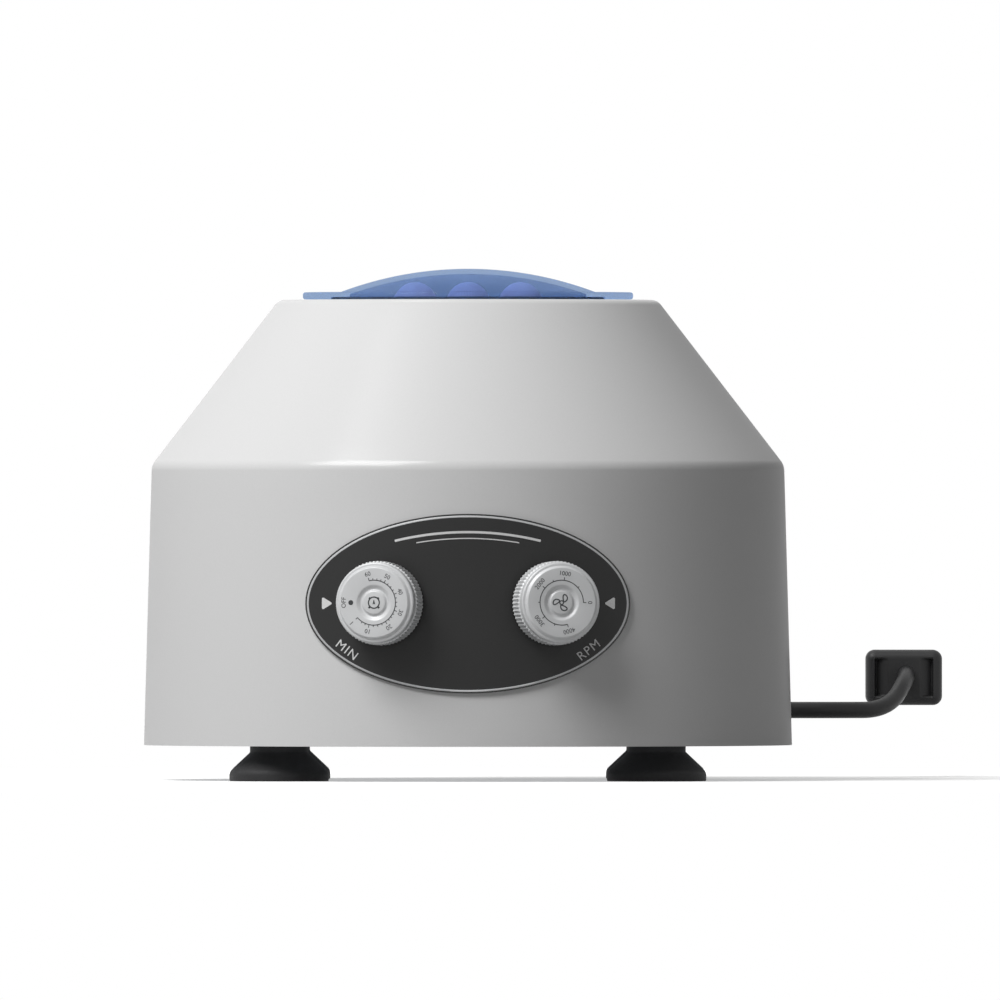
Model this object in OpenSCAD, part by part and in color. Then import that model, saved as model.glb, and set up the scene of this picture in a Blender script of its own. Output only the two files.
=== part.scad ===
// Benchtop centrifuge with a spun sheet-steel housing, a lift-off domed lid, a fixed-angle
// rotor for six capped tubes, a brush motor on rubber dampers, a clockwork timer and a
// rotary speed control. Millimetres, +Z up, +Y to the rear. The origin lies on the rotor
// axis, on the plane that the feet stand on.

/* [Housing] */
// Diameter of the housing at its bottom edge
base_d = 250; // [244:1:262]
// Diameter of the housing at its shoulder
shoulder_d = 244; // [238:1:256]
// Diameter of the flat top, to the corner of the bend
top_d = 146; // [138:1:160]
// Height of the lower wall
wall_h = 108; // [106:1:120]
// Height of the cone
cone_h = 63.7; // [61:0.1:70]
// Thickness of the sheet
sheet_t = 1.2; // [0.8:0.1:1.6]
// Outer bend radius at the shoulder
shoulder_bend = 7; // [4:0.5:12]
// Outer bend radius at the top
top_bend = 5; // [3:0.5:8]
// Diameter of the mouth in the top
mouth_d = 98; // [96:1:102]
// Width of the ledge that the base plate is screwed to
ledge_w = 12; // [9:0.5:16]
// Depth of the base plate above the bottom edge
base_recess = 2.5; // [2.2:0.1:5]
// Thickness of the base plate
base_t = 1.5; // [1:0.1:3]

/* [Feet] */
// Height of the bottom edge of the housing above the bench
foot_h = 13.5; // [11:0.5:20]
// Diameter of the foot on the bench
foot_d = 38.2; // [32:0.1:42]
// Diameter of the neck of the foot
foot_neck_d = 22.4; // [18:0.1:26]
// Height of the upright rim of the foot
foot_rim_h = 3; // [2:0.1:4]
// Length of the neck that shows below the housing
foot_neck_h = 2.5; // [1:0.1:4]
// Distance of a foot's centre from the bottom edge of the housing
foot_inset = 22.47; // [21:0.01:34]

/* [Lid] */
// Diameter of the flat rim of the lid
lid_d = 127.4; // [118:0.1:132]
// Thickness of the flat rim
lid_rim_t = 2.7; // [2:0.1:4]
// Diameter of the dome where it leaves the rim
dome_d = 99; // [97:0.5:104]
// Rise of the dome above the rim
dome_rise = 9.1; // [8.5:0.1:14]
// Wall of the dome
dome_t = 2; // [1.5:0.1:2.5]
// Length of the locating skirt below the rim
skirt_h = 6; // [4:0.5:9]
// Wall of the locating skirt
skirt_t = 1.8; // [1.4:0.1:2.4]

/* [Rotor] */
// Number of tubes
tube_count = 6; // [4:1:6]
// Angle of the tubes from the vertical
tube_tilt = 36; // [34:0.5:38]
// Distance of the cap centres from the rotor axis
tube_top_r = 23.4; // [22:0.1:26]
// Depth of the cap centres below the top of the housing
cap_sink = 1.7; // [1.6:0.1:5]
// Diameter of a tube
tube_d = 15; // [13:0.1:16]
// Wall of a tube
tube_wall = 1; // [0.8:0.1:1.5]
// Length from the cap centre to the bottom of a tube
tube_len = 94; // [86:0.5:95]
// Diameter of a cap
cap_d = 17; // [16:0.1:18.5]
// Wall of a tube sleeve
sleeve_wall = 1.1; // [0.8:0.1:1.5]
// Thickness of the rubber cushion under each tube
cushion_t = 3; // [2:0.5:4]
// Distance along a tube from the cap centre to the rotor's dish
dish_depth = 40; // [36:0.5:44]
// Thickness of the dish
dish_t = 14; // [10:0.5:16]
// Radius of the hub
hub_r = 14; // [11:0.5:18]
// Diameter of the spindle
spindle_d = 8; // [6:0.5:10]

/* [Drive] */
// Height of the rubber dampers
damper_h = 12; // [9:0.5:16]
// Diameter of a damper
damper_d = 18; // [14:0.5:22]
// Radius of the circle of dampers
damper_circle_r = 47; // [46:0.5:50]
// Thickness of the motor plate
motor_plate_t = 2; // [1.5:0.1:3]
// Outer diameter of the motor can
motor_d = 76; // [70:0.5:78]
// Wall of the motor can
motor_wall = 2; // [1.5:0.1:3]
// Outer diameter of the ball bearings
bearing_d = 22; // [19:0.5:24]
// Height of the ball bearings
bearing_h = 7; // [6:0.5:8]
// Diameter of the armature
armature_d = 40; // [34:0.5:44]
// Thickness of the chamber pan
pan_t = 1.2; // [0.8:0.1:2]
// Height of the upturned rim of the pan
pan_rim_h = 22; // [14:0.5:26]

/* [Panel] */
// Width of the oval panel, seen from the front
panel_w = 124.6; // [118:0.1:130]
// Height of the oval panel
panel_h = 68.8; // [62:0.1:74]
// Thickness of the panel
panel_t = 1; // [0.6:0.1:1.6]
// Height of the panel's centre above the middle of the lower wall
panel_up = 0.8; // [-4:0.1:2]
// Angle of each control from the front
control_angle = 15; // [14:0.25:16]

/* [Knobs] */
// Diameter over the ribs of a knob
knob_d = 32.2; // [28:0.1:34]
// Depth of a knob
knob_h = 13.5; // [11:0.1:16]
// Depth of the ribbed band at the back of a knob
rib_h = 9; // [6:0.1:9.5]
// Depth of the ribs
rib_depth = 0.6; // [0.3:0.05:0.9]
// Number of ribs
rib_count = 68; // [48:1:80]
// Diameter of the control spindles
shaft_d = 6; // [5:0.1:6.5]
// Side of the square timer case
timer_side = 38; // [34:0.5:40]
// Depth of the timer case
timer_depth = 28; // [22:0.5:32]
// Diameter of the speed control's case
speed_case_d = 30; // [24:0.5:34]
// Depth of the speed control's case
speed_case_h = 16; // [12:0.5:20]

/* [Mains lead] */
// Diameter of the cord
cord_d = 6.4; // [5.5:0.1:7]
// Gap between the nut of the strain relief and the ledge below it
cord_up = 0.1; // [0.1:0.1:8]
// Angle of the cord's exit from the right-hand side towards the rear
cord_angle = 60; // [55:1:65]
// Length of the strain relief outside the housing
relief_len = 32; // [26:0.5:36]
// Distance of the lead's straight run behind the rear of the housing
lead_back = 33; // [31:0.5:38]
// Distance of the plug's middle from the side of the housing
plug_out = 45.1; // [44:0.1:60]
// Distance of the plug's back behind the rear of the housing
plug_back = 76; // [75:0.5:90]
// Height of the plug's middle
plug_z = 38.7; // [34:0.1:42]
// Width of the plug
plug_w = 29.8; // [27:0.1:32]
// Height of the plug
plug_h = 21.6; // [20:0.1:24]
// Depth of the plug without its pins
plug_depth = 26; // [22:0.5:34]

/* [Hidden] */
$fn = 96;

// Clearances
seat_gap = 0.1;
slip_gap = 0.05;
hole_gap = 0.2;
run_gap = 0.6;
lid_gap = 0.2;
sweep_gap = 4;

// Heights of the housing
body_z = foot_h;
shoulder_z = body_z + wall_h;
top_z = shoulder_z + cone_h;
plate_z = body_z + base_recess;
floor_z = plate_z + base_t;
wall_taper = atan((base_d - shoulder_d) / 2 / wall_h);

// Outer radius of the lower wall at a height
function wall_r(z) = base_d / 2 + (shoulder_d - base_d) / 2 * (z - body_z) / wall_h;

// Points on a round stretch, from one angle to another
function arc(centre, r, from, to, steps = 8) =
  [for (i = [0:steps]) let (a = from + (to - from) * i / steps) centre + r * [cos(a), sin(a)]];
function unit(v) = v / norm(v);
function left_of(v) = [-v[1], v[0]];
// Where two lines meet, each given by a point and a direction
function meet(p, u, q, v) =
  let (d = u[0] * v[1] - u[1] * v[0], w = q - p)
  p + u * (w[0] * v[1] - w[1] * v[0]) / d;
// The corner at b of the line a-b-c, moved sideways by t
function shifted(a, b, c, t) =
  let (u = unit(b - a), v = unit(c - b))
  meet(b + left_of(u) * t, u, b + left_of(v) * t, v);
// The corner at b of the line a-b-c, rounded to radius r
function rounded(a, b, c, r, steps = 6) =
  let (u = unit(a - b), v = unit(c - b), half = acos(u * v) / 2, reach = r / tan(half),
    centre = b + unit(u + v) * r / sin(half), p = b + u * reach - centre, q = b + v * reach - centre,
    from = atan2(p[1], p[0]), turn = atan2(p[0] * q[1] - p[1] * q[0], p * q))
  arc(centre, r, from, from + turn, steps);
// An oval outline by its two widths
function oval(w, h, steps = 96) =
  [for (i = [0:steps - 1]) let (a = 360 * i / steps) [w / 2 * cos(a), h / 2 * sin(a)]];
function oblong(w, h, r, steps = 6) = concat(
  arc([w / 2 - r, h / 2 - r], r, 0, 90, steps), arc([r - w / 2, h / 2 - r], r, 90, 180, steps),
  arc([r - w / 2, r - h / 2], r, 180, 270, steps), arc([w / 2 - r, r - h / 2], r, 270, 360, steps));

module lathe(points) { rotate_extrude() polygon(points); }
module ring(outer_r, inner_r, h) {
  difference() {
    cylinder(r = outer_r, h = h);
    translate([0, 0, -h]) cylinder(r = inner_r, h = 3 * h);
  }
}
module around(count, r, start = 0) {
  for (i = [0:count - 1]) rotate([0, 0, start + 360 * i / count]) translate([r, 0, 0]) children();
}
// A pan-head screw pointing up, with the underside of its head at zero
module screw(shank_d, length, head_d, head_h) {
  translate([0, 0, -head_h]) cylinder(d = head_d, h = head_h);
  cylinder(d = shank_d, h = length);
}
module hex_nut(across, bore_d, h) {
  difference() {
    cylinder(d = across / cos(30), h = h, $fn = 6);
    translate([0, 0, -h]) cylinder(d = bore_d, h = 3 * h);
  }
}
// Places children on the outside of the lower wall, with +X out of the sheet
module on_wall(angle, z) {
  rotate([0, 0, angle]) translate([wall_r(z), 0, z]) rotate([0, -wall_taper, 0]) children();
}
module outwards() { rotate([0, 90, 0]) children(); }
// A solid through rings of points that all have the same count
module loft(rings) {
  count = len(rings[0]);
  last = len(rings) - 1;
  polyhedron([for (ring = rings) for (p = ring) p], concat(
    [[for (i = [0:count - 1]) i]],
    [for (k = [0:last - 1]) for (i = [0:count - 1]) let (j = (i + 1) % count)
      [k * count + i, (k + 1) * count + i, (k + 1) * count + j]],
    [for (k = [0:last - 1]) for (i = [0:count - 1]) let (j = (i + 1) % count)
      [k * count + i, (k + 1) * count + j, k * count + j]],
    [[for (i = [count - 1:-1:0]) last * count + i]]));
}

// Housing: one sheet, folded in at the mouth, with a ledge welded inside the bottom edge
ledge_z = floor_z;
lip_h = 4;
lip_bend = 2.2;
mouth_r = mouth_d / 2;
housing_line = [[base_d / 2, body_z], [shoulder_d / 2, shoulder_z], [top_d / 2, top_z],
  [mouth_r, top_z], [mouth_r, top_z - lip_h]];
module housing_section() {
  line = housing_line;
  wall_in = shifted([base_d / 2, body_z - 1], line[0], line[1], sheet_t);
  shoulder_in = shifted(line[0], line[1], line[2], sheet_t);
  top_in = shifted(line[1], line[2], line[3], sheet_t);
  mouth_in = shifted(line[2], line[3], line[4], sheet_t);
  inner_r = function(z) wall_r(z) - sheet_t / cos(wall_taper);
  polygon(concat([line[0]],
    rounded(line[0], line[1], line[2], shoulder_bend),
    rounded(line[1], line[2], line[3], top_bend),
    rounded(line[2], line[3], line[4], lip_bend),
    [line[4], line[4] + [sheet_t, 0]],
    rounded(line[4] + [sheet_t, 0], mouth_in, top_in, lip_bend - sheet_t),
    rounded(mouth_in, top_in, shoulder_in, top_bend - sheet_t),
    rounded(top_in, shoulder_in, wall_in, shoulder_bend - sheet_t),
    [[inner_r(ledge_z + sheet_t), ledge_z + sheet_t], [inner_r(ledge_z) - ledge_w, ledge_z + sheet_t],
      [inner_r(ledge_z) - ledge_w, ledge_z], [inner_r(ledge_z), ledge_z], [inner_r(body_z), body_z]]));
}
base_screw_d = 4;
base_screw_r = wall_r(ledge_z) - sheet_t - ledge_w / 2;
control_z = body_z + wall_h / 2 + panel_up;
timer_az = -90 - control_angle;
speed_az = -90 + control_angle;
timer_screw_d = 3;
timer_screw_offset = 10.5;
bushing_d = 9;
relief_thread_wall = 2.8;
relief_thread_d = cord_d + 2 * relief_thread_wall;
relief_nut_wall = 2.5;
relief_nut_w = relief_thread_d + 2 * relief_nut_wall;
relief_nut_h = 4;
relief_nut_seat = 2;
relief_nut_end = sheet_t + relief_nut_seat + relief_nut_h;
relief_z = ledge_z + sheet_t + relief_nut_w / 2 * cos(wall_taper) + relief_nut_end * sin(wall_taper) + cord_up;
module housing() {
  color("gainsboro") difference() {
    rotate_extrude() housing_section();
    translate([0, 0, ledge_z - 1]) around(4, base_screw_r) cylinder(d = base_screw_d + hole_gap, h = 4);
    on_wall(timer_az, control_z) outwards() timer_holes();
    on_wall(speed_az, control_z) outwards()
      translate([0, 0, -5]) cylinder(d = bushing_d + hole_gap, h = 10);
    on_wall(cord_angle, relief_z) outwards()
      translate([0, 0, -5]) cylinder(d = relief_thread_d + hole_gap, h = 10);
  }
}
// The timer's shaft hole and the two screw holes above and below it
module timer_holes() {
  translate([0, 0, -5]) cylinder(d = shaft_d + 2, h = 10);
  for (side = [-1, 1]) translate([side * timer_screw_offset, 0, -5])
    cylinder(d = timer_screw_d + 2 * hole_gap, h = 10);
}

// Base plate with its vent slots
vent_count = 24;
vent_w = 4;
vent_from_r = 62;
vent_to_r = 78;
foot_screw_d = 4;
damper_screw_d = 4;
foot_pitch = (base_d / 2 - foot_inset) * sqrt(2);
post_inset = 39;
post_circle_r = base_d / 2 - post_inset;
post_screw_d = 3;
fitting_inset = 33;
board_at = [fitting_inset - base_d / 2, 0];
board_w = 34;
board_l = 62;
board_hole_inset = 4;
board_screw_d = 3;
terminal_at = [base_d / 2 - fitting_inset, 6];
terminal_w = 16;
terminal_l = 44;
module at_feet() {
  for (x = [-1, 1]) for (y = [-1, 1]) translate([x * foot_pitch / 2, y * foot_pitch / 2, 0]) children();
}
module at_board_holes() {
  for (x = [-1, 1]) for (y = [-1, 1])
    translate([board_at[0] + x * (board_w / 2 - board_hole_inset),
      board_at[1] + y * (board_l / 2 - board_hole_inset), 0]) children();
}
module base_plate() {
  outer_r = wall_r(plate_z) - sheet_t / cos(wall_taper) - 2 * hole_gap;
  color("lightgray") difference() {
    translate([0, 0, plate_z]) cylinder(r = outer_r, h = base_t);
    translate([0, 0, plate_z - base_t]) {
      around(4, base_screw_r) cylinder(d = base_screw_d + hole_gap, h = 3 * base_t);
      at_feet() cylinder(d = foot_screw_d + hole_gap, h = 3 * base_t);
      around(3, damper_circle_r, 90) cylinder(d = damper_screw_d + hole_gap, h = 3 * base_t);
      around(4, post_circle_r, 45) cylinder(d = post_screw_d + hole_gap, h = 3 * base_t);
      for (side = [0, 180]) for (i = [-4:4]) rotate([0, 0, side + 90 + i * 360 / vent_count / 1.5])
        translate([vent_from_r, -vent_w / 2, 0]) cube([vent_to_r - vent_from_r, vent_w, 3 * base_t]);
    }
  }
}
module base_screws() {
  color("silver") translate([0, 0, plate_z]) around(4, base_screw_r)
    screw(base_screw_d, base_t + sheet_t + 2.5, 7.4, 2.2);
}

// Rubber feet with a hollow sucker below, each held by a screw and a nut
foot_lip_w = 4;
foot_hollow_h = 5;
foot_sink_d = 10;
foot_sink_h = 8;
module foot_at(x, y) {
  r = foot_d / 2;
  shoulder = [r, foot_rim_h + 0.6];
  color([0.08, 0.08, 0.08]) translate([x * foot_pitch / 2, y * foot_pitch / 2, 0]) lathe(concat(
    [[foot_screw_d / 2 + hole_gap, plate_z], [foot_neck_d / 2, plate_z],
      [foot_neck_d / 2, foot_h - foot_neck_h]],
    rounded([foot_neck_d / 2, foot_h - foot_neck_h], shoulder, [r, 0], foot_rim_h),
    [[r, 0], [r - foot_lip_w, 0], [foot_sink_d / 2 + 2, foot_hollow_h],
      [foot_sink_d / 2, foot_hollow_h], [foot_sink_d / 2, foot_sink_h],
      [foot_screw_d / 2 + hole_gap, foot_sink_h]]));
}
module foot_front_left() { foot_at(-1, -1); }
module foot_front_right() { foot_at(1, -1); }
module foot_rear_left() { foot_at(-1, 1); }
module foot_rear_right() { foot_at(1, 1); }
foot_nut_h = 3.2;
module foot_screws() {
  color("silver") translate([0, 0, foot_sink_h]) at_feet()
    screw(foot_screw_d, floor_z - foot_sink_h + foot_nut_h + 1, 7.6, 2.4);
}
module foot_nuts() {
  color("silver") translate([0, 0, floor_z]) at_feet()
    hex_nut(7, foot_screw_d + 2 * slip_gap, foot_nut_h);
}

// Rubber edging over the lip of the mouth
edging_t = 1;
edging_r = mouth_r - edging_t - seat_gap;
edging_top = top_z + edging_t;
module mouth_edging() {
  outside = mouth_r + lip_bend + 1.2;
  color([0.1, 0.1, 0.1]) lathe(concat(
    arc([edging_r + edging_t, edging_top - edging_t], edging_t, 180, 90),
    [[outside, edging_top], [outside, top_z + seat_gap]],
    arc([mouth_r + lip_bend, top_z - lip_bend], lip_bend + seat_gap, 90, 180),
    [[mouth_r - seat_gap, top_z - lip_h - seat_gap], [mouth_r + sheet_t, top_z - lip_h - seat_gap],
      [mouth_r + sheet_t, top_z - lip_h - seat_gap - edging_t],
      [edging_r, top_z - lip_h - seat_gap - edging_t]]));
}

// Lid: flat rim, domed middle and a skirt that drops into the mouth
lid_z = top_z + lid_gap;
lid_top_z = lid_z + lid_rim_t;
dome_r = (pow(dome_d / 2, 2) + pow(dome_rise, 2)) / 2 / dome_rise;
dome_centre = [0, lid_top_z + dome_rise - dome_r];
skirt_r = edging_r - 0.5;
skirt_in_r = skirt_r - skirt_t;
seat_z = edging_top + seat_gap;
seat_r = mouth_r + lip_bend + 1.2 + 0.4;
lid_edge = 0.9;
module lid() {
  inner_dome_r = dome_r - dome_t;
  outer_a = asin(dome_d / 2 / dome_r);
  inner_a = asin(skirt_in_r / inner_dome_r);
  rim_r = lid_d / 2;
  color([0.36, 0.5, 0.78, 0.55]) lathe(concat(
    [[seat_r, lid_z]], arc([rim_r - lid_edge, lid_z + lid_edge], lid_edge, -90, 0, 4),
    arc([rim_r - lid_edge, lid_top_z - lid_edge], lid_edge, 0, 90, 4),
    arc(dome_centre, dome_r, 90 - outer_a, 90, 16),
    arc(dome_centre, inner_dome_r, 90, 90 - inner_a, 16),
    [[skirt_in_r, lid_z - skirt_h], [skirt_r, lid_z - skirt_h], [skirt_r, seat_z], [seat_r, seat_z]]));
}

// Rotor: a dish on a hub, square to the tubes, which lean in towards the axis
tube_top_z = top_z - cap_sink;
tube_dir = [sin(tube_tilt), -cos(tube_tilt)];
dish_dir = [cos(tube_tilt), sin(tube_tilt)];
sleeve_in_r = tube_d / 2 + 4 * seat_gap;
sleeve_r = sleeve_in_r + sleeve_wall;
sleeve_end = tube_len + cushion_t + sleeve_wall + 2 * seat_gap;
sleeve_lip_w = 2;
sleeve_lip_t = 2;
dish_reach = sleeve_r + sleeve_lip_w + 2;
// A point in the section through a tube: s along the tube from the cap centre, t across it
function tube_point(s, t) = [tube_top_r, tube_top_z] + s * tube_dir + t * dish_dir;
// Height of the dish's face at depth s where it meets radius r
function dish_z(s, r) = let (p = tube_point(s, 0)) p[1] + (r - p[0]) * tan(tube_tilt);
hub_z = dish_z(dish_depth + dish_t, hub_r) - 4;
hub_top_z = dish_z(dish_depth, hub_r) + 4;
lowest_z = tube_point(sleeve_end, -sleeve_r)[1];
pan_z = lowest_z - sweep_gap - pan_t;
module at_tubes() {
  for (i = [0:tube_count - 1]) rotate([0, 0, -90 + 360 * i / tube_count])
    translate([tube_top_r, 0, tube_top_z]) rotate([0, -tube_tilt, 0]) children();
}
module rotor_head() {
  color("silver") difference() {
    lathe(concat([[spindle_d / 2 + slip_gap, hub_z], [hub_r, hub_z],
      [hub_r, dish_z(dish_depth + dish_t, hub_r)]],
      rounded(tube_point(dish_depth + dish_t, 0), tube_point(dish_depth + dish_t, dish_reach),
        tube_point(dish_depth, dish_reach), 3, 4),
      rounded(tube_point(dish_depth + dish_t, dish_reach), tube_point(dish_depth, dish_reach),
        tube_point(dish_depth, 0), 2, 4),
      [[hub_r, dish_z(dish_depth, hub_r)], [hub_r, hub_top_z], [spindle_d / 2 + slip_gap, hub_top_z]]));
    at_tubes() {
      translate([0, 0, -dish_depth - 2 * dish_t]) cylinder(r = sleeve_r + seat_gap, h = 3 * dish_t);
      translate([0, 0, -dish_depth]) cylinder(r = sleeve_r + sleeve_lip_w + 2 * seat_gap, h = dish_t);
    }
  }
}
nut_h = 12;
nut_r = 8;
thread_d = spindle_d - 2;
module rotor_nut() {
  crown = 3;
  color("dimgray") translate([0, 0, hub_top_z]) difference() {
    union() {
      cylinder(r = nut_r + 2, h = 2);
      cylinder(r = nut_r / cos(30), h = nut_h - crown, $fn = 6);
      translate([0, 0, nut_h - crown]) cylinder(r1 = nut_r, r2 = nut_r - crown, h = crown);
    }
    translate([0, 0, -1]) cylinder(d = thread_d + 2 * slip_gap, h = nut_h - crown + 1);
  }
}
module tube_sleeves() {
  color("lightsteelblue") at_tubes() lathe([[0, -sleeve_end], [sleeve_r - 1, -sleeve_end],
    [sleeve_r, -sleeve_end + 1], [sleeve_r, -dish_depth], [sleeve_r + sleeve_lip_w, -dish_depth],
    [sleeve_r + sleeve_lip_w, sleeve_lip_t - dish_depth], [sleeve_in_r, sleeve_lip_t - dish_depth],
    [sleeve_in_r, sleeve_wall - sleeve_end], [0, sleeve_wall - sleeve_end]]);
}
module sleeve_cushions() {
  r = sleeve_in_r - seat_gap;
  color([0.15, 0.15, 0.15]) at_tubes() translate([0, 0, sleeve_wall - sleeve_end])
    cylinder(r = r, h = cushion_t);
}
tube_mouth = 2;
module sample_tubes() {
  r = tube_d / 2;
  bend = r - 1.5;
  color([0.92, 0.95, 0.97, 0.5]) at_tubes() lathe(concat(
    [[r - tube_wall, -tube_mouth], [r - tube_wall, bend - tube_len]],
    arc([0, bend - tube_len + tube_wall], r - tube_wall, 0, -90, 6),
    [[0, -tube_len], [r - bend, -tube_len]], arc([r - bend, bend - tube_len], bend, -90, 0, 6),
    [[r, -tube_mouth]]));
}
cap_skirt = 13;
module tube_caps() {
  r = cap_d / 2;
  inner = tube_d / 2 + seat_gap;
  plug_r = tube_d / 2 - tube_wall - seat_gap;
  color([0.62, 0.52, 0.75]) at_tubes() lathe(concat(arc([0, 0], r, 90, 0, 10),
    [[r, -cap_skirt], [inner, -cap_skirt], [inner, seat_gap - tube_mouth],
      [plug_r, seat_gap - tube_mouth], [plug_r, -tube_mouth - 6], [0, -tube_mouth - 6]]));
}

// Chamber pan: the floor under the rotor, on four posts
pan_r = wall_r(pan_z) - sheet_t - 5;
pan_bend = 6;
boot_hole_r = 13;
post_d = 9;
module chamber_pan() {
  floor_line = [[boot_hole_r, pan_z], [pan_r - 4, pan_z], [pan_r, pan_z + pan_rim_h]];
  upper_in = shifted(floor_line[0], floor_line[1], floor_line[2], pan_t);
  rim_in = floor_line[2] - [pan_t, 0];
  color("whitesmoke") difference() {
    lathe(concat([floor_line[0]], rounded(floor_line[0], floor_line[1], floor_line[2], pan_bend + pan_t),
      [floor_line[2], rim_in], rounded(rim_in, upper_in, [boot_hole_r, pan_z + pan_t], pan_bend),
      [[boot_hole_r, pan_z + pan_t]]));
    translate([0, 0, pan_z - pan_t]) around(4, post_circle_r, 45)
      cylinder(d = post_screw_d + hole_gap, h = 3 * pan_t);
  }
}
module pan_posts() {
  color("silver") translate([0, 0, floor_z]) around(4, post_circle_r, 45)
    ring(post_d / 2, post_screw_d / 2 + slip_gap, pan_z - floor_z);
}
module pan_screws() {
  reach = 10;
  color("silver") {
    translate([0, 0, pan_z + pan_t]) around(4, post_circle_r, 45) rotate([180, 0, 0])
      screw(post_screw_d, pan_t + reach, 5.6, 1.6);
    translate([0, 0, plate_z]) around(4, post_circle_r, 45)
      screw(post_screw_d, base_t + reach, 5.6, 1.6);
  }
}
boot_flange = 3;
boot_t = 2;
module shaft_boot() {
  bore = spindle_d / 2 + run_gap;
  groove = boot_hole_r - seat_gap;
  color([0.12, 0.12, 0.12]) lathe([[bore, pan_z - boot_t], [groove + boot_flange, pan_z - boot_t],
    [groove + boot_flange, pan_z - seat_gap], [groove, pan_z - seat_gap],
    [groove, pan_z + pan_t + seat_gap], [groove + boot_flange, pan_z + pan_t + seat_gap],
    [groove + boot_flange, pan_z + pan_t + boot_t], [bore + 2, pan_z + pan_t + boot_t],
    [bore, pan_z + pan_t + 1]]);
}

// Motor: a can on a plate that stands on three rubber dampers
motor_plate_z = floor_z + damper_h;
motor_z = motor_plate_z + motor_plate_t;
bell_t = 3;
bell_boss_h = 3;
bell_z = pan_z - boot_t - 1 - bell_t - bell_boss_h;
motor_r = motor_d / 2;
motor_in_r = motor_r - motor_wall;
bearing_z = motor_z + motor_wall;
upper_bearing_z = bell_z + bell_t + bell_boss_h - 1 - bearing_h;
motor_screw_d = 4;
motor_screw_r = motor_in_r - 7;
damper_hole_h = 4.5;
module motor_plate() {
  color("silver") translate([0, 0, motor_plate_z]) difference() {
    cylinder(r = damper_circle_r + damper_d / 2, h = motor_plate_t);
    translate([0, 0, -1]) {
      around(3, damper_circle_r, 90) cylinder(d = damper_screw_d + hole_gap, h = 10);
      around(3, motor_screw_r, 30) cylinder(d = motor_screw_d + hole_gap, h = 10);
    }
  }
}
module motor_dampers() {
  r = damper_d / 2;
  waist = 1.5;
  hole = damper_screw_d / 2 + slip_gap;
  color([0.1, 0.1, 0.1]) translate([0, 0, floor_z]) around(3, damper_circle_r, 90) lathe([
    [0, damper_hole_h], [hole, damper_hole_h], [hole, 0], [r, 0], [r, 2], [r - waist, damper_h / 2],
    [r, damper_h - 2], [r, damper_h], [hole, damper_h], [hole, damper_h - damper_hole_h],
    [0, damper_h - damper_hole_h]]);
}
module damper_screws() {
  color("silver") {
    translate([0, 0, plate_z]) around(3, damper_circle_r, 90)
      screw(damper_screw_d, base_t + damper_hole_h - 0.5, 7.6, 2);
    translate([0, 0, motor_z]) around(3, damper_circle_r, 90) rotate([180, 0, 0])
      screw(damper_screw_d, motor_plate_t + damper_hole_h - 0.5, 7.6, 2);
  }
}
brush_z = bearing_z + bearing_h + 6;
holder_d = 10;
brush_d = 6;
module motor_can() {
  seat_r = bearing_d / 2 + slip_gap;
  color("darkslategray") translate([0, 0, motor_z]) difference() {
    lathe([[spindle_d / 2 + 1, 0], [motor_r, 0], [motor_r, bell_z - motor_z],
      [motor_in_r, bell_z - motor_z], [motor_in_r, motor_wall], [seat_r + 3, motor_wall],
      [seat_r + 3, motor_wall + bearing_h], [seat_r, motor_wall + bearing_h], [seat_r, motor_wall],
      [spindle_d / 2 + 1, motor_wall]]);
    translate([0, 0, brush_z - motor_z]) for (side = [0, 180]) rotate([0, 0, side])
      rotate([0, 90, 0]) cylinder(d = holder_d + 2 * seat_gap, h = motor_d);
    translate([0, 0, -1]) around(3, motor_screw_r, 30) cylinder(d = motor_screw_d + 2 * slip_gap, h = 10);
  }
}
module motor_screws() {
  color("silver") translate([0, 0, motor_plate_z]) around(3, motor_screw_r, 30)
    screw(motor_screw_d, motor_plate_t + motor_wall + 1.5, 7.6, 2);
}
module motor_bell() {
  seat_r = bearing_d / 2 + slip_gap;
  spigot_r = motor_in_r - slip_gap;
  boss_z = bell_z + bell_t + bell_boss_h;
  color("slategray") lathe([[spindle_d / 2 + 1, boss_z - 1], [seat_r, boss_z - 1],
    [seat_r, upper_bearing_z], [seat_r + 3, upper_bearing_z], [seat_r + 3, bell_z],
    [spigot_r - 2, bell_z], [spigot_r - 2, bell_z - 2], [spigot_r, bell_z - 2], [spigot_r, bell_z],
    [motor_r, bell_z], [motor_r, bell_z + bell_t - 1], [motor_r - 1, bell_z + bell_t],
    [seat_r + 3, bell_z + bell_t], [seat_r + 3, boss_z], [spindle_d / 2 + 1, boss_z]]);
}
module bearing(z) {
  color("silver") translate([0, 0, z]) ring(bearing_d / 2, spindle_d / 2 + slip_gap, bearing_h);
}
module lower_bearing() { bearing(bearing_z); }
module upper_bearing() { bearing(upper_bearing_z); }
winding_h = 4;
air_gap = 0.8;
stack_z = brush_z + holder_d / 2 + 1 + winding_h;
fan_h = 4;
fan_z = upper_bearing_z - fan_h - 2;
stack_h = fan_z - 2 - winding_h - stack_z;
module stator_stack() {
  color("gray") translate([0, 0, stack_z])
    ring(motor_in_r - seat_gap, armature_d / 2 + air_gap, stack_h);
}
module field_windings() {
  inner = armature_d / 2 + air_gap + 1.5;
  color("chocolate") for (z = [stack_z - winding_h, stack_z + stack_h])
    translate([0, 0, z]) ring(motor_in_r - 4, inner, winding_h);
}
commutator_step = 9;
commutator_r = armature_d / 2 - commutator_step;
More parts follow.
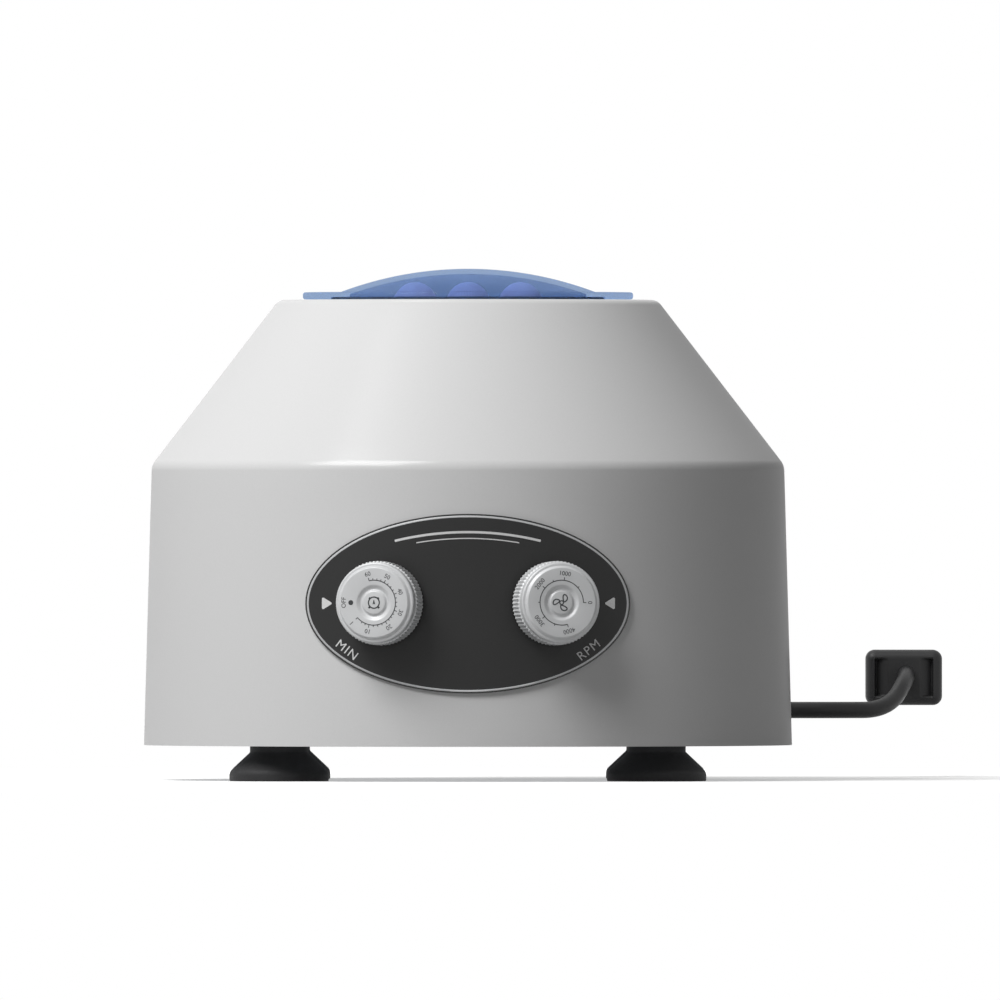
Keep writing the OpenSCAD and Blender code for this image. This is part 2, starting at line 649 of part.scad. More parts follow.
module brush_holders() {
  color("goldenrod") translate([0, 0, brush_z]) for (side = [0, 180]) rotate([0, 0, side])
    rotate([0, 90, 0]) lathe([[brush_d / 2 + slip_gap, commutator_r + 3], [holder_d / 2, commutator_r + 3],
      [holder_d / 2, motor_r + 2], [holder_d / 2 + 1.5, motor_r + 2], [holder_d / 2 + 1.5, motor_r + 4],
      [0, motor_r + 4], [0, motor_r + 2], [brush_d / 2 + slip_gap, motor_r + 2]]);
}
module carbon_brushes() {
  color([0.2, 0.2, 0.2]) translate([0, 0, brush_z]) for (side = [0, 180]) rotate([0, 0, side])
    rotate([0, 90, 0]) translate([0, 0, commutator_r + hole_gap])
      cylinder(d = brush_d, h = motor_r + 2 - commutator_r - hole_gap);
}

// Pieces that turn with the spindle
collar_r = spindle_d / 2 + 3;
collar_h = 3;
module motor_spindle() {
  r = spindle_d / 2;
  color("silver") lathe([[0, bearing_z + 0.3], [r, bearing_z + 0.3], [r, hub_z - collar_h],
    [collar_r, hub_z - collar_h], [collar_r, hub_z], [r, hub_z], [r, hub_top_z],
    [thread_d / 2, hub_top_z], [thread_d / 2, hub_top_z + nut_h - 4], [0, hub_top_z + nut_h - 4]]);
}
module armature() {
  slots = 12;
  slot_w = 2.4;
  slot_h = 5;
  color("sienna") translate([0, 0, stack_z]) difference() {
    ring(armature_d / 2, spindle_d / 2 + slip_gap, stack_h);
    around(slots, armature_d / 2 - slot_h) translate([0, -slot_w / 2, -1]) cube([slot_h + 1, slot_w, stack_h + 2]);
  }
}
module commutator() {
  color("peru") translate([0, 0, brush_z - holder_d / 2]) ring(commutator_r, spindle_d / 2 + slip_gap, holder_d);
}
module cooling_fan() {
  blades = 9;
  disc_t = 1.2;
  reach = motor_in_r - 4;
  color("ivory") translate([0, 0, fan_z]) difference() {
    union() {
      cylinder(r = reach, h = disc_t);
      cylinder(r = spindle_d / 2 + 3, h = fan_h);
      intersection() {
        around(blades, 0) translate([spindle_d / 2 + 2, 0, 0]) rotate([0, 0, 25])
          cube([reach, 1.4, fan_h]);
        cylinder(r = reach, h = fan_h);
      }
    }
    translate([0, 0, -1]) cylinder(r = spindle_d / 2 + slip_gap, h = fan_h + 2);
  }
}

// Oval panel, bent to the wall
module panel_plate() {
  low = control_z - panel_h;
  high = control_z + panel_h;
  near = function(z) wall_r(z) + seat_gap;
  color([0.2, 0.2, 0.2]) difference() {
    intersection() {
      lathe([[near(low), low], [near(low) + panel_t, low], [near(high) + panel_t, high], [near(high), high]]);
      translate([0, 0, control_z]) rotate([90, 0, 0]) linear_extrude(base_d) polygon(oval(panel_w, panel_h));
    }
    on_wall(timer_az, control_z) outwards() timer_holes();
    on_wall(speed_az, control_z) outwards() translate([0, 0, -5]) cylinder(d = bushing_d + hole_gap, h = 10);
  }
}

// Knobs: a ribbed band, a plain ring, a raised face with a dish in it, and a button in the dish
panel_out = seat_gap + panel_t;
knob_gap = 0.9;
knob_from = panel_out + knob_gap;
speed_nut_h = 2;
bushing_out = panel_out + speed_nut_h + 0.5;
hub_from = bushing_out - knob_from + knob_gap;
hub_wall = 2.2;
shaft_flat = 1;
knob_face_t = 3;
shaft_in_knob = knob_h - knob_face_t - 1;
// Outline of the ribs, rounded by a sine
function ribs() = [for (i = [0:4 * rib_count - 1]) let (a = 90 * i / rib_count)
  (knob_d / 2 - rib_depth / 2 + rib_depth / 2 * cos(a * rib_count)) * [cos(a), sin(a)]];
module knob() {
  r = knob_d / 2;
  ring_r = r - rib_depth - 0.05;
  step_r = ring_r - 1.25;
  step_z = knob_h - 1.1;
  face_r = step_r - 0.85;
  dish_out = 7.1;
  dish_in = 5.2;
  dish_z = knob_h - 0.9;
  button_r = 4.1;
  button_h = 0.7;
  hollow_r = r - rib_depth - 1.6;
  difference() {
    union() {
      linear_extrude(rib_h) polygon(ribs());
      lathe(concat([[0, rib_h - 1], [ring_r, rib_h - 1]],
        rounded([ring_r, rib_h - 1], [ring_r, step_z], [step_r, step_z], 0.75, 4), [[step_r, step_z]],
        rounded([step_r, step_z], [face_r, knob_h], [dish_out, knob_h], 0.5, 3),
        [for (i = [0:8]) [dish_out - (dish_out - dish_in) * i / 8,
          knob_h - (knob_h - dish_z) / 2 * (1 - cos(i * 22.5))]],
        [for (i = [1:6]) [dish_in - (dish_in - button_r) * i / 6, dish_z + button_h / 2 * (1 - cos(i * 30))]],
        [[0, dish_z + button_h]]));
    }
    difference() {
      translate([0, 0, -1]) cylinder(r = hollow_r, h = knob_h - knob_face_t + 1);
      translate([0, 0, hub_from]) cylinder(r = shaft_d / 2 + hub_wall, h = knob_h);
    }
    difference() {
      cylinder(r = shaft_d / 2 + slip_gap, h = shaft_in_knob + 0.5);
      translate([shaft_d / 2 - shaft_flat + slip_gap, -shaft_d, 0]) cube([shaft_d, 2 * shaft_d, knob_h]);
    }
  }
}
// A control shaft with a flat for its knob, from its case to inside the knob
module control_shaft(from) {
  difference() {
    translate([0, 0, from]) cylinder(d = shaft_d, h = knob_from + shaft_in_knob - from);
    translate([shaft_d / 2 - shaft_flat, -shaft_d, knob_from]) cube([shaft_d, 2 * shaft_d, knob_h]);
  }
}
module timer_knob() {
  color("silver") on_wall(timer_az, control_z) outwards() translate([0, 0, knob_from]) knob();
}
module speed_knob() {
  color("silver") on_wall(speed_az, control_z) outwards() translate([0, 0, knob_from]) knob();
}

// Timer: a square case on two bosses, screwed on from the front
timer_face = sheet_t + 3;
boss_d = 7;
shaft_socket = 6;
module timer_shaft() {
  color("silver") on_wall(timer_az, control_z) outwards() control_shaft(-timer_face - shaft_socket + 0.5);
}
module timer_case() {
  tab_h = 6;
  color("slategray") on_wall(timer_az, control_z) outwards() difference() {
    union() {
      translate([0, 0, -timer_face - timer_depth]) linear_extrude(timer_depth) polygon(oblong(timer_side, timer_side, 3));
      for (side = [-1, 1]) translate([side * timer_screw_offset, 0, -timer_face - 1])
        cylinder(d = boss_d, h = timer_face - sheet_t - seat_gap + 1);
      for (i = [-1:1]) translate([-0.4, i * 9 - 3, -timer_face - timer_depth - tab_h]) cube([0.8, 6, tab_h + 1]);
    }
    translate([0, 0, -timer_face - shaft_socket]) cylinder(r = shaft_d / 2 + slip_gap, h = shaft_socket + 1);
    for (side = [-1, 1]) translate([side * timer_screw_offset, 0, -timer_face - 5])
      cylinder(d = timer_screw_d + 2 * slip_gap, h = timer_face + 5);
  }
}
module timer_screws() {
  color("silver") on_wall(timer_az, control_z) outwards() for (side = [-1, 1])
    translate([side * timer_screw_offset, 0, panel_out + slip_gap]) rotate([180, 0, 0])
      screw(timer_screw_d, panel_out + timer_face + 3, 5.4, 1.6);
}

// Speed control: a round case with a threaded bushing through the wall
speed_face = sheet_t + 2;
module speed_shaft() {
  color("silver") on_wall(speed_az, control_z) outwards() control_shaft(-speed_face - shaft_socket + 0.5);
}
module speed_control() {
  tab_w = 4;
  color("saddlebrown") on_wall(speed_az, control_z) outwards() difference() {
    union() {
      translate([0, 0, -speed_face - speed_case_h]) cylinder(d = speed_case_d, h = speed_case_h);
      translate([0, 0, -speed_face - 1]) cylinder(d = bushing_d, h = speed_face + 1 + bushing_out);
      for (i = [-1:1]) translate([speed_case_d / 2 - 1, i * 6 - tab_w / 2, -speed_face - 6])
        cube([8, tab_w, 0.8]);
    }
    translate([0, 0, -speed_face - shaft_socket])
      cylinder(r = shaft_d / 2 + slip_gap, h = speed_face + shaft_socket + bushing_out + 1);
  }
}
module speed_nut() {
  color("silver") on_wall(speed_az, control_z) outwards() translate([0, 0, panel_out + slip_gap])
    hex_nut(13, bushing_d + 2 * slip_gap, speed_nut_h);
}

// Control board on four posts, with a finned heat sink, and the terminal block
board_up = 8;
board_post_d = 6;
board_z = floor_z + board_up;
board_t = 1.6;
module board_posts() {
  color("silver") translate([0, 0, floor_z]) at_board_holes() cylinder(d = board_post_d, h = board_up);
}
module control_board() {
  cap_r = 6;
  cap_h = 18;
  color("darkgreen") {
    translate([board_at[0] - board_w / 2, board_at[1] - board_l / 2, board_z]) cube([board_w, board_l, board_t]);
    translate([board_at[0] + 6, board_at[1] - board_l / 4, board_z + board_t]) cylinder(r = cap_r, h = cap_h);
  }
}
module heat_sink() {
  fins = 6;
  fin_t = 1.4;
  sink_w = 22;
  sink_l = 20;
  sink_h = 24;
  pitch = (sink_l - fin_t) / (fins - 1);
  color("silver") translate([board_at[0] - sink_w / 2, board_at[1] + 2, board_z + board_t]) {
    cube([sink_w, sink_l, 3]);
    for (i = [0:fins - 1]) translate([0, i * pitch, 0]) cube([sink_w, fin_t, sink_h]);
  }
}
module terminal_block() {
  poles = 4;
  block_h = 13;
  pitch = terminal_l / poles;
  color("ivory") translate([terminal_at[0] - terminal_w / 2, terminal_at[1] - terminal_l / 2, floor_z]) difference() {
    cube([terminal_w, terminal_l, block_h]);
    for (i = [0:poles - 1]) {
      translate([terminal_w / 2, (i + 0.5) * pitch, block_h - 4]) cylinder(d = 5, h = 5);
      translate([-1, (i + 0.5) * pitch, 5]) rotate([0, 90, 0]) cylinder(d = 4.5, h = terminal_w + 2);
    }
  }
}

// Mains lead: a tapered relief screwed into the wall, the cord and its plug
relief_wall = 3.8;
relief_d = cord_d + 2 * relief_wall;
relief_tip_wall = 1.2;
relief_tip_d = cord_d + 2 * relief_tip_wall;
relief_flange_w = 2.5;
relief_flange_d = relief_d + 2 * relief_flange_w;
relief_flange_t = 3;
relief_rib = 0.7;
relief_ribs = 6;
module strain_relief() {
  inside = relief_nut_end;
  step = (relief_len - relief_flange_t - 4) / relief_ribs;
  taper = function(z) relief_d / 2 + (relief_tip_d - relief_d) / 2 * (z - relief_flange_t) / (relief_len - relief_flange_t);
  bore = cord_d / 2 + seat_gap;
  color([0.1, 0.1, 0.1]) on_wall(cord_angle, relief_z) outwards() lathe(concat(
    [[bore, -inside], [relief_thread_d / 2, -inside], [relief_thread_d / 2, 2 * seat_gap],
      [relief_flange_d / 2, 2 * seat_gap], [relief_flange_d / 2, relief_flange_t - 1],
      [relief_flange_d / 2 - 1, relief_flange_t]],
    [for (i = [0:relief_ribs - 1]) for (k = [0:3]) let (z = relief_flange_t + step * (i + [0, 0.55, 0.6, 0.95][k]))
      [taper(z) - (k < 2 ? 0 : relief_rib), z]],
    [[taper(relief_len - 4), relief_len - 4], [relief_tip_d / 2, relief_len - 0.6],
      [relief_tip_d / 2 - 0.6, relief_len], [bore, relief_len]]));
}
module relief_nut() {
  color([0.15, 0.15, 0.15]) on_wall(cord_angle, relief_z) outwards()
    translate([0, 0, -relief_nut_end]) rotate([0, 0, 30])
      hex_nut(relief_nut_w, relief_thread_d + 2 * slip_gap, relief_nut_h);
}
// Route of the cord: out through the relief, round to the right, along the rear of the housing,
// then round to the rear and up into the plug
relief_dir = [cos(cord_angle) * cos(wall_taper), sin(cord_angle) * cos(wall_taper), sin(wall_taper)];
relief_foot = [wall_r(relief_z) * cos(cord_angle), wall_r(relief_z) * sin(cord_angle), relief_z];
relief_tip = relief_foot + relief_dir * (relief_len + 2);
plug_at = [base_d / 2 + plug_out, base_d / 2 + plug_back, plug_z];
cord_end = plug_at + [0.8, 0, 1.3];
cord_sag = 1.3;
lead_y = base_d / 2 + lead_back;
lead_z = relief_z - cord_sag;
first_r = (lead_y - relief_tip[1]) / (1 - cos(cord_angle));
turn_r = 36;
climb_r = 38;
climb_h = cord_end[2] - lead_z;
climb_half = climb_r * sin(acos(1 - climb_h / 2 / climb_r));
// Height at a distance before the plug: two arcs, one curving up and one levelling off
function climb_z(before) = let (u = 2 * climb_half - before)
  u <= 0 ? lead_z : u < climb_half ? lead_z + climb_r - sqrt(climb_r * climb_r - u * u)
  : cord_end[2] - climb_r + sqrt(climb_r * climb_r - before * before);
function first_turn(t) = let (a = cord_angle * (1 - t))
  [relief_tip[0] + first_r * (sin(cord_angle) - sin(a)), relief_tip[1] + first_r * (cos(a) - cos(cord_angle)),
    relief_tip[2] + (lead_z - relief_tip[2]) * (1 - cos(180 * t)) / 2];
last_run = cord_end[1] - lead_y - turn_r;
function last_turn(t) = let (a = 90 * t)
  [cord_end[0] - turn_r + turn_r * sin(a), lead_y + turn_r * (1 - cos(a)),
    climb_z(last_run + turn_r * (1 - t) * PI / 2)];
route = concat([for (reach = [-8, 4, 18, relief_len + 2]) relief_foot + relief_dir * reach],
  [for (i = [1:6]) first_turn(i / 6)],
  [for (i = [1:2]) first_turn(1) + (last_turn(0) - first_turn(1)) * i / 3],
  [for (i = [0:10]) last_turn(i / 10)], [cord_end]);
cord_sides = 10;
function route_dir(i) = unit(route[min(i + 1, len(route) - 1)] - route[max(i - 1, 0)]);
function cord_ring(i) =
  let (ahead = route_dir(i), across = unit(cross(ahead, [0, 0, 1])), up = cross(across, ahead))
  [for (k = [0:cord_sides - 1]) let (a = 360 * k / cord_sides)
    route[i] + cord_d / 2 * (across * cos(a) + up * sin(a))];
module power_cord() {
  color([0.1, 0.1, 0.1]) loft([for (i = [0:len(route) - 1]) cord_ring(i)]);
}
// Plug: a moulded block with a bevelled back and finger recesses either side of the cord
plug_corner = 3.6;
plug_bevel = 3.4;
function plug_ring(w, h, r, y) = [for (p = oblong(w, h, r, 4)) plug_at + [p[0], y, p[1]]];
module plug_body() {
  grip_h = 15;
  grip_depth = 3;
  grip_from = 6.3;
  grip_low = 10.8;
  grip_to = 11.4;
  color([0.14, 0.14, 0.14]) difference() {
    loft([plug_ring(plug_w - 2 * plug_bevel, plug_h - 2 * plug_bevel, plug_corner - 1.4, 0),
      plug_ring(plug_w - plug_bevel, plug_h - plug_bevel, plug_corner - 0.6, plug_bevel / 3),
      plug_ring(plug_w, plug_h, plug_corner, plug_bevel),
      plug_ring(plug_w, plug_h, plug_corner, plug_depth - 4),
      plug_ring(plug_w - 3, plug_h - 3, plug_corner, plug_depth)]);
    for (side = [-1, 1]) translate(plug_at - [0, 0, grip_h / 2]) linear_extrude(grip_h)
      polygon([[side * grip_from, -1], [side * grip_from, 0], [side * grip_low, grip_depth], [side * grip_to, 0],
        [side * grip_to, -1]]);
  }
}
module plug_pins() {
  blade_w = 6.3;
  blade_t = 1.5;
  blade_l = 17.5;
  earth_d = 4.8;
  earth_l = 20.5;
  blade_pitch = 12.7;
  earth_x = 5.9;
  color("gold") translate(plug_at + [0, plug_depth, 0]) {
    for (side = [-1, 1]) translate([-earth_x - blade_w / 2, 0, side * blade_pitch / 2 - blade_t / 2])
      cube([blade_w, blade_l, blade_t]);
    translate([earth_x, 0, 0]) rotate([-90, 0, 0]) cylinder(d = earth_d, h = earth_l);
  }
}

housing();
base_plate();
foot_front_left();
foot_front_right();
foot_rear_left();
foot_rear_right();
foot_screws();
foot_nuts();
base_screws();
mouth_edging();
chamber_pan();
pan_posts();
pan_screws();
shaft_boot();
motor_plate();
motor_dampers();
damper_screws();
motor_can();
motor_screws();
motor_bell();
stator_stack();
field_windings();
brush_holders();
carbon_brushes();
lower_bearing();
upper_bearing();
panel_plate();
timer_case();
timer_screws();
speed_control();
speed_nut();
control_board();
heat_sink();
board_posts();
terminal_block();
strain_relief();
relief_nut();
power_cord();
plug_body();
plug_pins();
motor_spindle();
armature();
commutator();
cooling_fan();
rotor_head();
rotor_nut();
tube_sleeves();
sleeve_cushions();
sample_tubes();
tube_caps();
lid();
timer_knob();
timer_shaft();
speed_knob();
speed_shaft();
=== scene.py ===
"""Looks of a benchtop centrifuge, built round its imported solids.

The file is laid out as an add-on: sizes and colours are properties, and each piece or group of
like pieces has an operator. Lengths are metres, +Z is up and the panel faces -Y.
"""
import math

import bmesh
import bpy
import numpy as np
from bpy.props import FloatProperty, FloatVectorProperty, IntProperty, PointerProperty
from bpy.types import Operator, Panel, PropertyGroup
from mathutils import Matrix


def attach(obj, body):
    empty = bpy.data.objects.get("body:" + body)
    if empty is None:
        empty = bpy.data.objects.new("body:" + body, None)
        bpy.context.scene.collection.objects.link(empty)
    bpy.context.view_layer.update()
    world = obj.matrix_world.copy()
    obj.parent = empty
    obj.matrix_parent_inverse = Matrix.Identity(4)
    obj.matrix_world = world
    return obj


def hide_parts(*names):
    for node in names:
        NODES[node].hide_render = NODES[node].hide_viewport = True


bl_info = {
    "name": "Benchtop centrifuge",
    "version": (1, 0, 0),
    "blender": (4, 5, 0),
    "location": "View3D > Sidebar > Centrifuge",
    "description": "Dresses the packed solids of a benchtop centrifuge",
    "category": "Object",
}

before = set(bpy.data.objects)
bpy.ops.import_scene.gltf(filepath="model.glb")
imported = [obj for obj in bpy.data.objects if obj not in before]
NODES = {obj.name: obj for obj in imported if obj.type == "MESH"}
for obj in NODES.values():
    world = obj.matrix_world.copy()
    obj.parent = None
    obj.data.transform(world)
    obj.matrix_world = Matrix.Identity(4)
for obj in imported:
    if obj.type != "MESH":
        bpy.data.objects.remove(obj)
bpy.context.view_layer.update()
MM = 0.001


def linear(text):
    """Linear RGB of an sRGB hex colour."""
    values = np.array([int(text[i:i + 2], 16) for i in (1, 3, 5)]) / 255
    low = values / 12.92
    high = ((values + 0.055) / 1.055) ** 2.4
    return tuple(np.where(values <= 0.04045, low, high).tolist())


def rgba(values):
    """A colour with full alpha, as colour sockets take it."""
    return (*values, 1.0)


def size(name, description, value, unit="LENGTH"):
    """A length, angle or plain number that a user would change."""
    return FloatProperty(name=name, description=description, default=value, unit=unit, precision=4)


def colour(name, description, text):
    """A colour that a user would change, from an sRGB hex value."""
    return FloatVectorProperty(name=name, description=description, default=linear(text),
                               subtype="COLOR", size=3, min=0.0, max=1.0)


class HousingSizes(PropertyGroup):
    """The painted shell and its feet"""
    base_d: size("Base diameter", "Across the bottom edge", 250 * MM)
    shoulder_d: size("Shoulder diameter", "Across the bend below the cone", 244 * MM)
    top_d: size("Top diameter", "Across the corner of the flat top", 146 * MM)
    mouth_d: size("Mouth diameter", "Across the opening in the top", 98 * MM)
    foot_h: size("Foot height", "Bottom edge above the bench", 13.5 * MM)
    wall_h: size("Wall height", "Height of the lower wall", 108 * MM)
    cone_h: size("Cone height", "Height of the cone", 63.7 * MM)
    sheet_t: size("Sheet thickness", "Thickness of the steel", 1.2 * MM)
    foot_d: size("Foot diameter", "Across a foot on the bench", 38.2 * MM)
    foot_pitch: size("Foot spacing", "Centre to centre of neighbouring feet", 145 * MM)
    paint: colour("Paint", "Stoved enamel", "#D9D9D9")
    rubber: colour("Rubber", "Feet and edging", "#2F2F30")


class LidSizes(PropertyGroup):
    """The lift-off lid"""
    rim_d: size("Rim diameter", "Across the flat rim", 127.4 * MM)
    rim_t: size("Rim thickness", "Thickness of the flat rim", 2.7 * MM)
    dome_d: size("Dome diameter", "Where the dome leaves the rim", 99 * MM)
    dome_rise: size("Dome rise", "Height of the dome above the rim", 9.1 * MM)
    wall: size("Dome wall", "Thickness of the dome", 2 * MM)
    skirt_h: size("Skirt length", "Skirt below the rim", 6 * MM)
    tint: colour("Tint", "Colour of the plastic", "#90A8CB")


class PanelSizes(PropertyGroup):
    """The oval control panel"""
    width: size("Width", "Width seen from the front", 124.6 * MM)
    height: size("Height", "Height of the oval", 68.8 * MM)
    thickness: size("Thickness", "Thickness of the sheet", 1 * MM)
    line: size("Border line", "Width of the silver line", 0.72 * MM)
    field: colour("Field", "Printed middle of the panel", "#222222")
    edge: colour("Edge", "Outer edge of the panel", "#0C0C0C")
    silver: colour("Silver line", "Ink of the border", "#B4B5B6")


class KnobSizes(PropertyGroup):
    """The two control knobs"""
    diameter: size("Diameter", "Across the ribs", 32.2 * MM)
    depth: size("Depth", "From the back edge to the face", 13.5 * MM)
    rib_h: size("Rib length", "Length of the ribbed band", 9 * MM)
    rib_depth: size("Rib depth", "Depth of the ribs", 0.6 * MM)
    ribs: IntProperty(name="Ribs", description="Number of ribs", default=68, min=24, max=120)
    angle: size("Angle", "Each knob's angle from the front", math.radians(15), "ROTATION")
    silver: colour("Silver", "Plated finish", "#D2D3D4")
    ink: colour("Ink", "Printing on the dials", "#26282B")


class LeadSizes(PropertyGroup):
    """The mains lead and its plug"""
    cord_d: size("Cord diameter", "Across the sheath", 6.4 * MM)
    angle: size("Exit angle", "Cord's exit, from the right-hand side to the rear", math.radians(60),
                "ROTATION")
    plug_x: size("Plug X", "Middle of the plug to the right of the axis", 170.1 * MM)
    plug_y: size("Plug Y", "Back of the plug behind the axis", 201 * MM)
    plug_z: size("Plug Z", "Middle of the plug above the bench", 38.7 * MM)
    plug_w: size("Plug width", "Across the plug", 29.8 * MM)
    plug_h: size("Plug height", "Height of the plug", 21.6 * MM)
    plug_depth: size("Plug depth", "Back of the plug to its pins", 26 * MM)
    sheath: colour("Sheath", "Colour of the cord and plug", "#1A1A1B")


class RotorSizes(PropertyGroup):
    """The tubes and their caps"""
    tilt: size("Tube angle", "Tube axis from the vertical", math.radians(36), "ROTATION")
    top_r: size("Cap circle", "Radius of the circle of caps", 23.4 * MM)
    cap_d: size("Cap diameter", "Across a cap", 17 * MM)
    tube_d: size("Tube diameter", "Across a tube", 15 * MM)
    tube_l: size("Tube length", "Cap centre to tube bottom", 94 * MM)
    cap: colour("Caps", "Lilac plastic", "#FFE0EF")


class StageSizes(PropertyGroup):
    """Floor, light and camera"""
    distance: size("Camera distance", "Long, so the view is nearly parallel", 16.5)
    view_w: size("View width", "Width of the frame at the axis", 385.8 * MM)
    centre_x: size("Centre X", "Middle of the frame from the rotor axis", 12.35 * MM)
    centre_z: size("Centre Z", "Middle of the frame above the bench", 108 * MM)
    key: FloatProperty(name="Key light", description="Power of the key lamp", default=54.0, unit="POWER")
    floor: colour("Floor", "Paper sweep", "#F2F2F2")


GROUPS = {"cf_housing": HousingSizes, "cf_lid": LidSizes, "cf_panel": PanelSizes, "cf_knob": KnobSizes,
          "cf_lead": LeadSizes, "cf_rotor": RotorSizes, "cf_stage": StageSizes}


# Meshes

def around(steps):
    """Angles once round, evenly spaced, without the last one that would meet the first."""
    return np.linspace(0, 2 * np.pi, steps, endpoint=False)


def heading(angle):
    """Unit vectors in the XY plane at angles from +X."""
    return np.stack((np.cos(angle), np.sin(angle)), -1)


def arc(centre, radius, start, end, steps):
    """Points on a circle in the section plane, angles in degrees from the first axis."""
    return np.array(centre) + radius * heading(np.radians(np.linspace(start, end, steps + 1)))


def bend(line, radii, steps):
    """A line of corners with each inner corner turned into an arc that touches both sides."""
    line = np.array(line, float)
    out = [line[:1]]
    for a, b, c, r in zip(line[:-2], line[1:-1], line[2:], radii):
        u = (a - b) / np.linalg.norm(a - b)
        v = (c - b) / np.linalg.norm(c - b)
        half = math.acos(np.clip(u @ v, -1, 1)) / 2
        if r <= 0:
            out.append(b[None])
            continue
        centre = b + (u + v) / np.linalg.norm(u + v) * r / math.sin(half)
        p = b + u * r / math.tan(half) - centre
        q = b + v * r / math.tan(half) - centre
        turn = math.atan2(p[0] * q[1] - p[1] * q[0], p @ q)
        start = math.atan2(p[1], p[0])
        out.append(arc(centre, r, math.degrees(start), math.degrees(start + turn), steps))
    out.append(line[-1:])
    return np.vstack(out)


def offset(line, gap):
    """The line moved to its left by gap, with corners where the moved sides meet."""
    line = np.array(line, float)
    way = np.diff(line, axis=0)
    way /= np.linalg.norm(way, axis=1)[:, None]
    left = np.column_stack((-way[:, 1], way[:, 0]))
    out = [line[0] + left[0] * gap]
    for i in range(1, len(line) - 1):
        out.append(line[i] + (left[i - 1] + left[i]) * gap / (1 + left[i - 1] @ left[i]))
    out.append(line[-1] + left[-1] * gap)
    return np.array(out)


def fill(section, reach):
    """Adds points so that no stretch of a section is longer than reach, which keeps quads even."""
    section = np.array(section, float)
    length = np.linalg.norm(np.diff(section, axis=0), axis=1)
    count = np.maximum(1, np.ceil(length / reach).astype(int))
    parts = [a + (b - a) * (np.arange(n) / n)[:, None] for a, b, n in zip(section[:-1], section[1:], count)]
    return np.vstack(parts + [section[-1:]])


def grid_faces(rows, columns, wrap_rows=False, wrap_columns=False):
    """Quads of a grid of points, joined round where a direction wraps."""
    i = np.arange(rows if wrap_rows else rows - 1)[:, None]
    j = np.arange(columns if wrap_columns else columns - 1)[None, :]
    k = (i + 1) % rows
    m = (j + 1) % columns
    return np.stack((i * columns + j, i * columns + m, k * columns + m, k * columns + j), -1).reshape(-1, 4)


def piece(name, points, faces, material, body, sharp=32, replaces=()):
    """A mesh object from points and faces, welded, facing outwards and riding on its body."""
    mesh = bpy.data.meshes.new(name)
    mesh.from_pydata(points.reshape(-1, 3).tolist(), [], [list(f) for f in faces])
    work = bmesh.new()
    work.from_mesh(mesh)
    bmesh.ops.remove_doubles(work, verts=work.verts, dist=1e-7)
    bmesh.ops.dissolve_degenerate(work, edges=work.edges, dist=1e-8)
    bmesh.ops.recalc_face_normals(work, faces=work.faces)
    work.to_mesh(mesh)
    work.free()
    mesh.polygons.foreach_set("use_smooth", np.ones(len(mesh.polygons), bool))
    mesh.set_sharp_from_angle(angle=math.radians(sharp))
    mesh.materials.append(material)
    thing = bpy.data.objects.new(name, mesh)
    bpy.context.scene.collection.objects.link(thing)
    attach(thing, body)
    if replaces:
        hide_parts(*replaces)
    return thing


def lathe(section, steps, closed=True, ribbed=0.0, rib_depth=0.0, ribs=0):
    """Points and faces of a section of radius and height turned once round the axis. A section that
    isn't closed ends on the axis. Where the section is ribbed, as a share from zero to one, its radius
    shrinks by half a rib depth times one minus a cosine."""
    section = np.array(section, float)
    a = around(steps)
    cut = rib_depth / 2 * (1 - np.cos(ribs * a))
    r = section[:, :1] - np.broadcast_to(ribbed, len(section))[:, None] * cut
    z = np.broadcast_to(section[:, 1:], r.shape)
    points = np.stack((r * np.cos(a), r * np.sin(a), z), -1)
    return points, grid_faces(len(section), steps, closed, True)


def stack(parts):
    """Several (points, faces) pairs as one."""
    points, faces, start = [], [], 0
    for p, f in parts:
        p = np.asarray(p, float).reshape(-1, 3)
        points.append(p)
        faces += [[int(i) + start for i in face] for face in f]
        start += len(p)
    return np.vstack(points), faces


def ribbon(path, width, low, high, closed=False):
    """A flat strip along a path in the XY plane, with square edges between two heights."""
    path = np.array(path, float)
    if closed:
        way = np.roll(path, -1, axis=0) - np.roll(path, 1, axis=0)
    else:
        way = np.gradient(path, axis=0)
    way /= np.linalg.norm(way, axis=1)[:, None]
    left = np.column_stack((-way[:, 1], way[:, 0])) * width / 2
    corners = [np.column_stack((path + s * left, np.full(len(path), h)))
               for s, h in ((-1, low), (1, low), (1, high), (-1, high))]
    points = np.stack(corners, 1)
    faces = grid_faces(len(path), 4, wrap_rows=closed, wrap_columns=True).tolist()
    if not closed:
        last = 4 * (len(path) - 1)
        faces += [[0, 1, 2, 3], [last + 3, last + 2, last + 1, last]]
    return points, faces


def patch(outline, low, high):
    """A flat convex shape between two heights: its outline drawn twice and closed."""
    outline = np.array(outline, float)
    n = len(outline)
    points = np.vstack([np.column_stack((outline, np.full(n, h))) for h in (low, high)])
    faces = grid_faces(2, n, wrap_columns=True).tolist()
    faces += [list(range(n))[::-1], list(range(n, 2 * n))]
    return points, faces


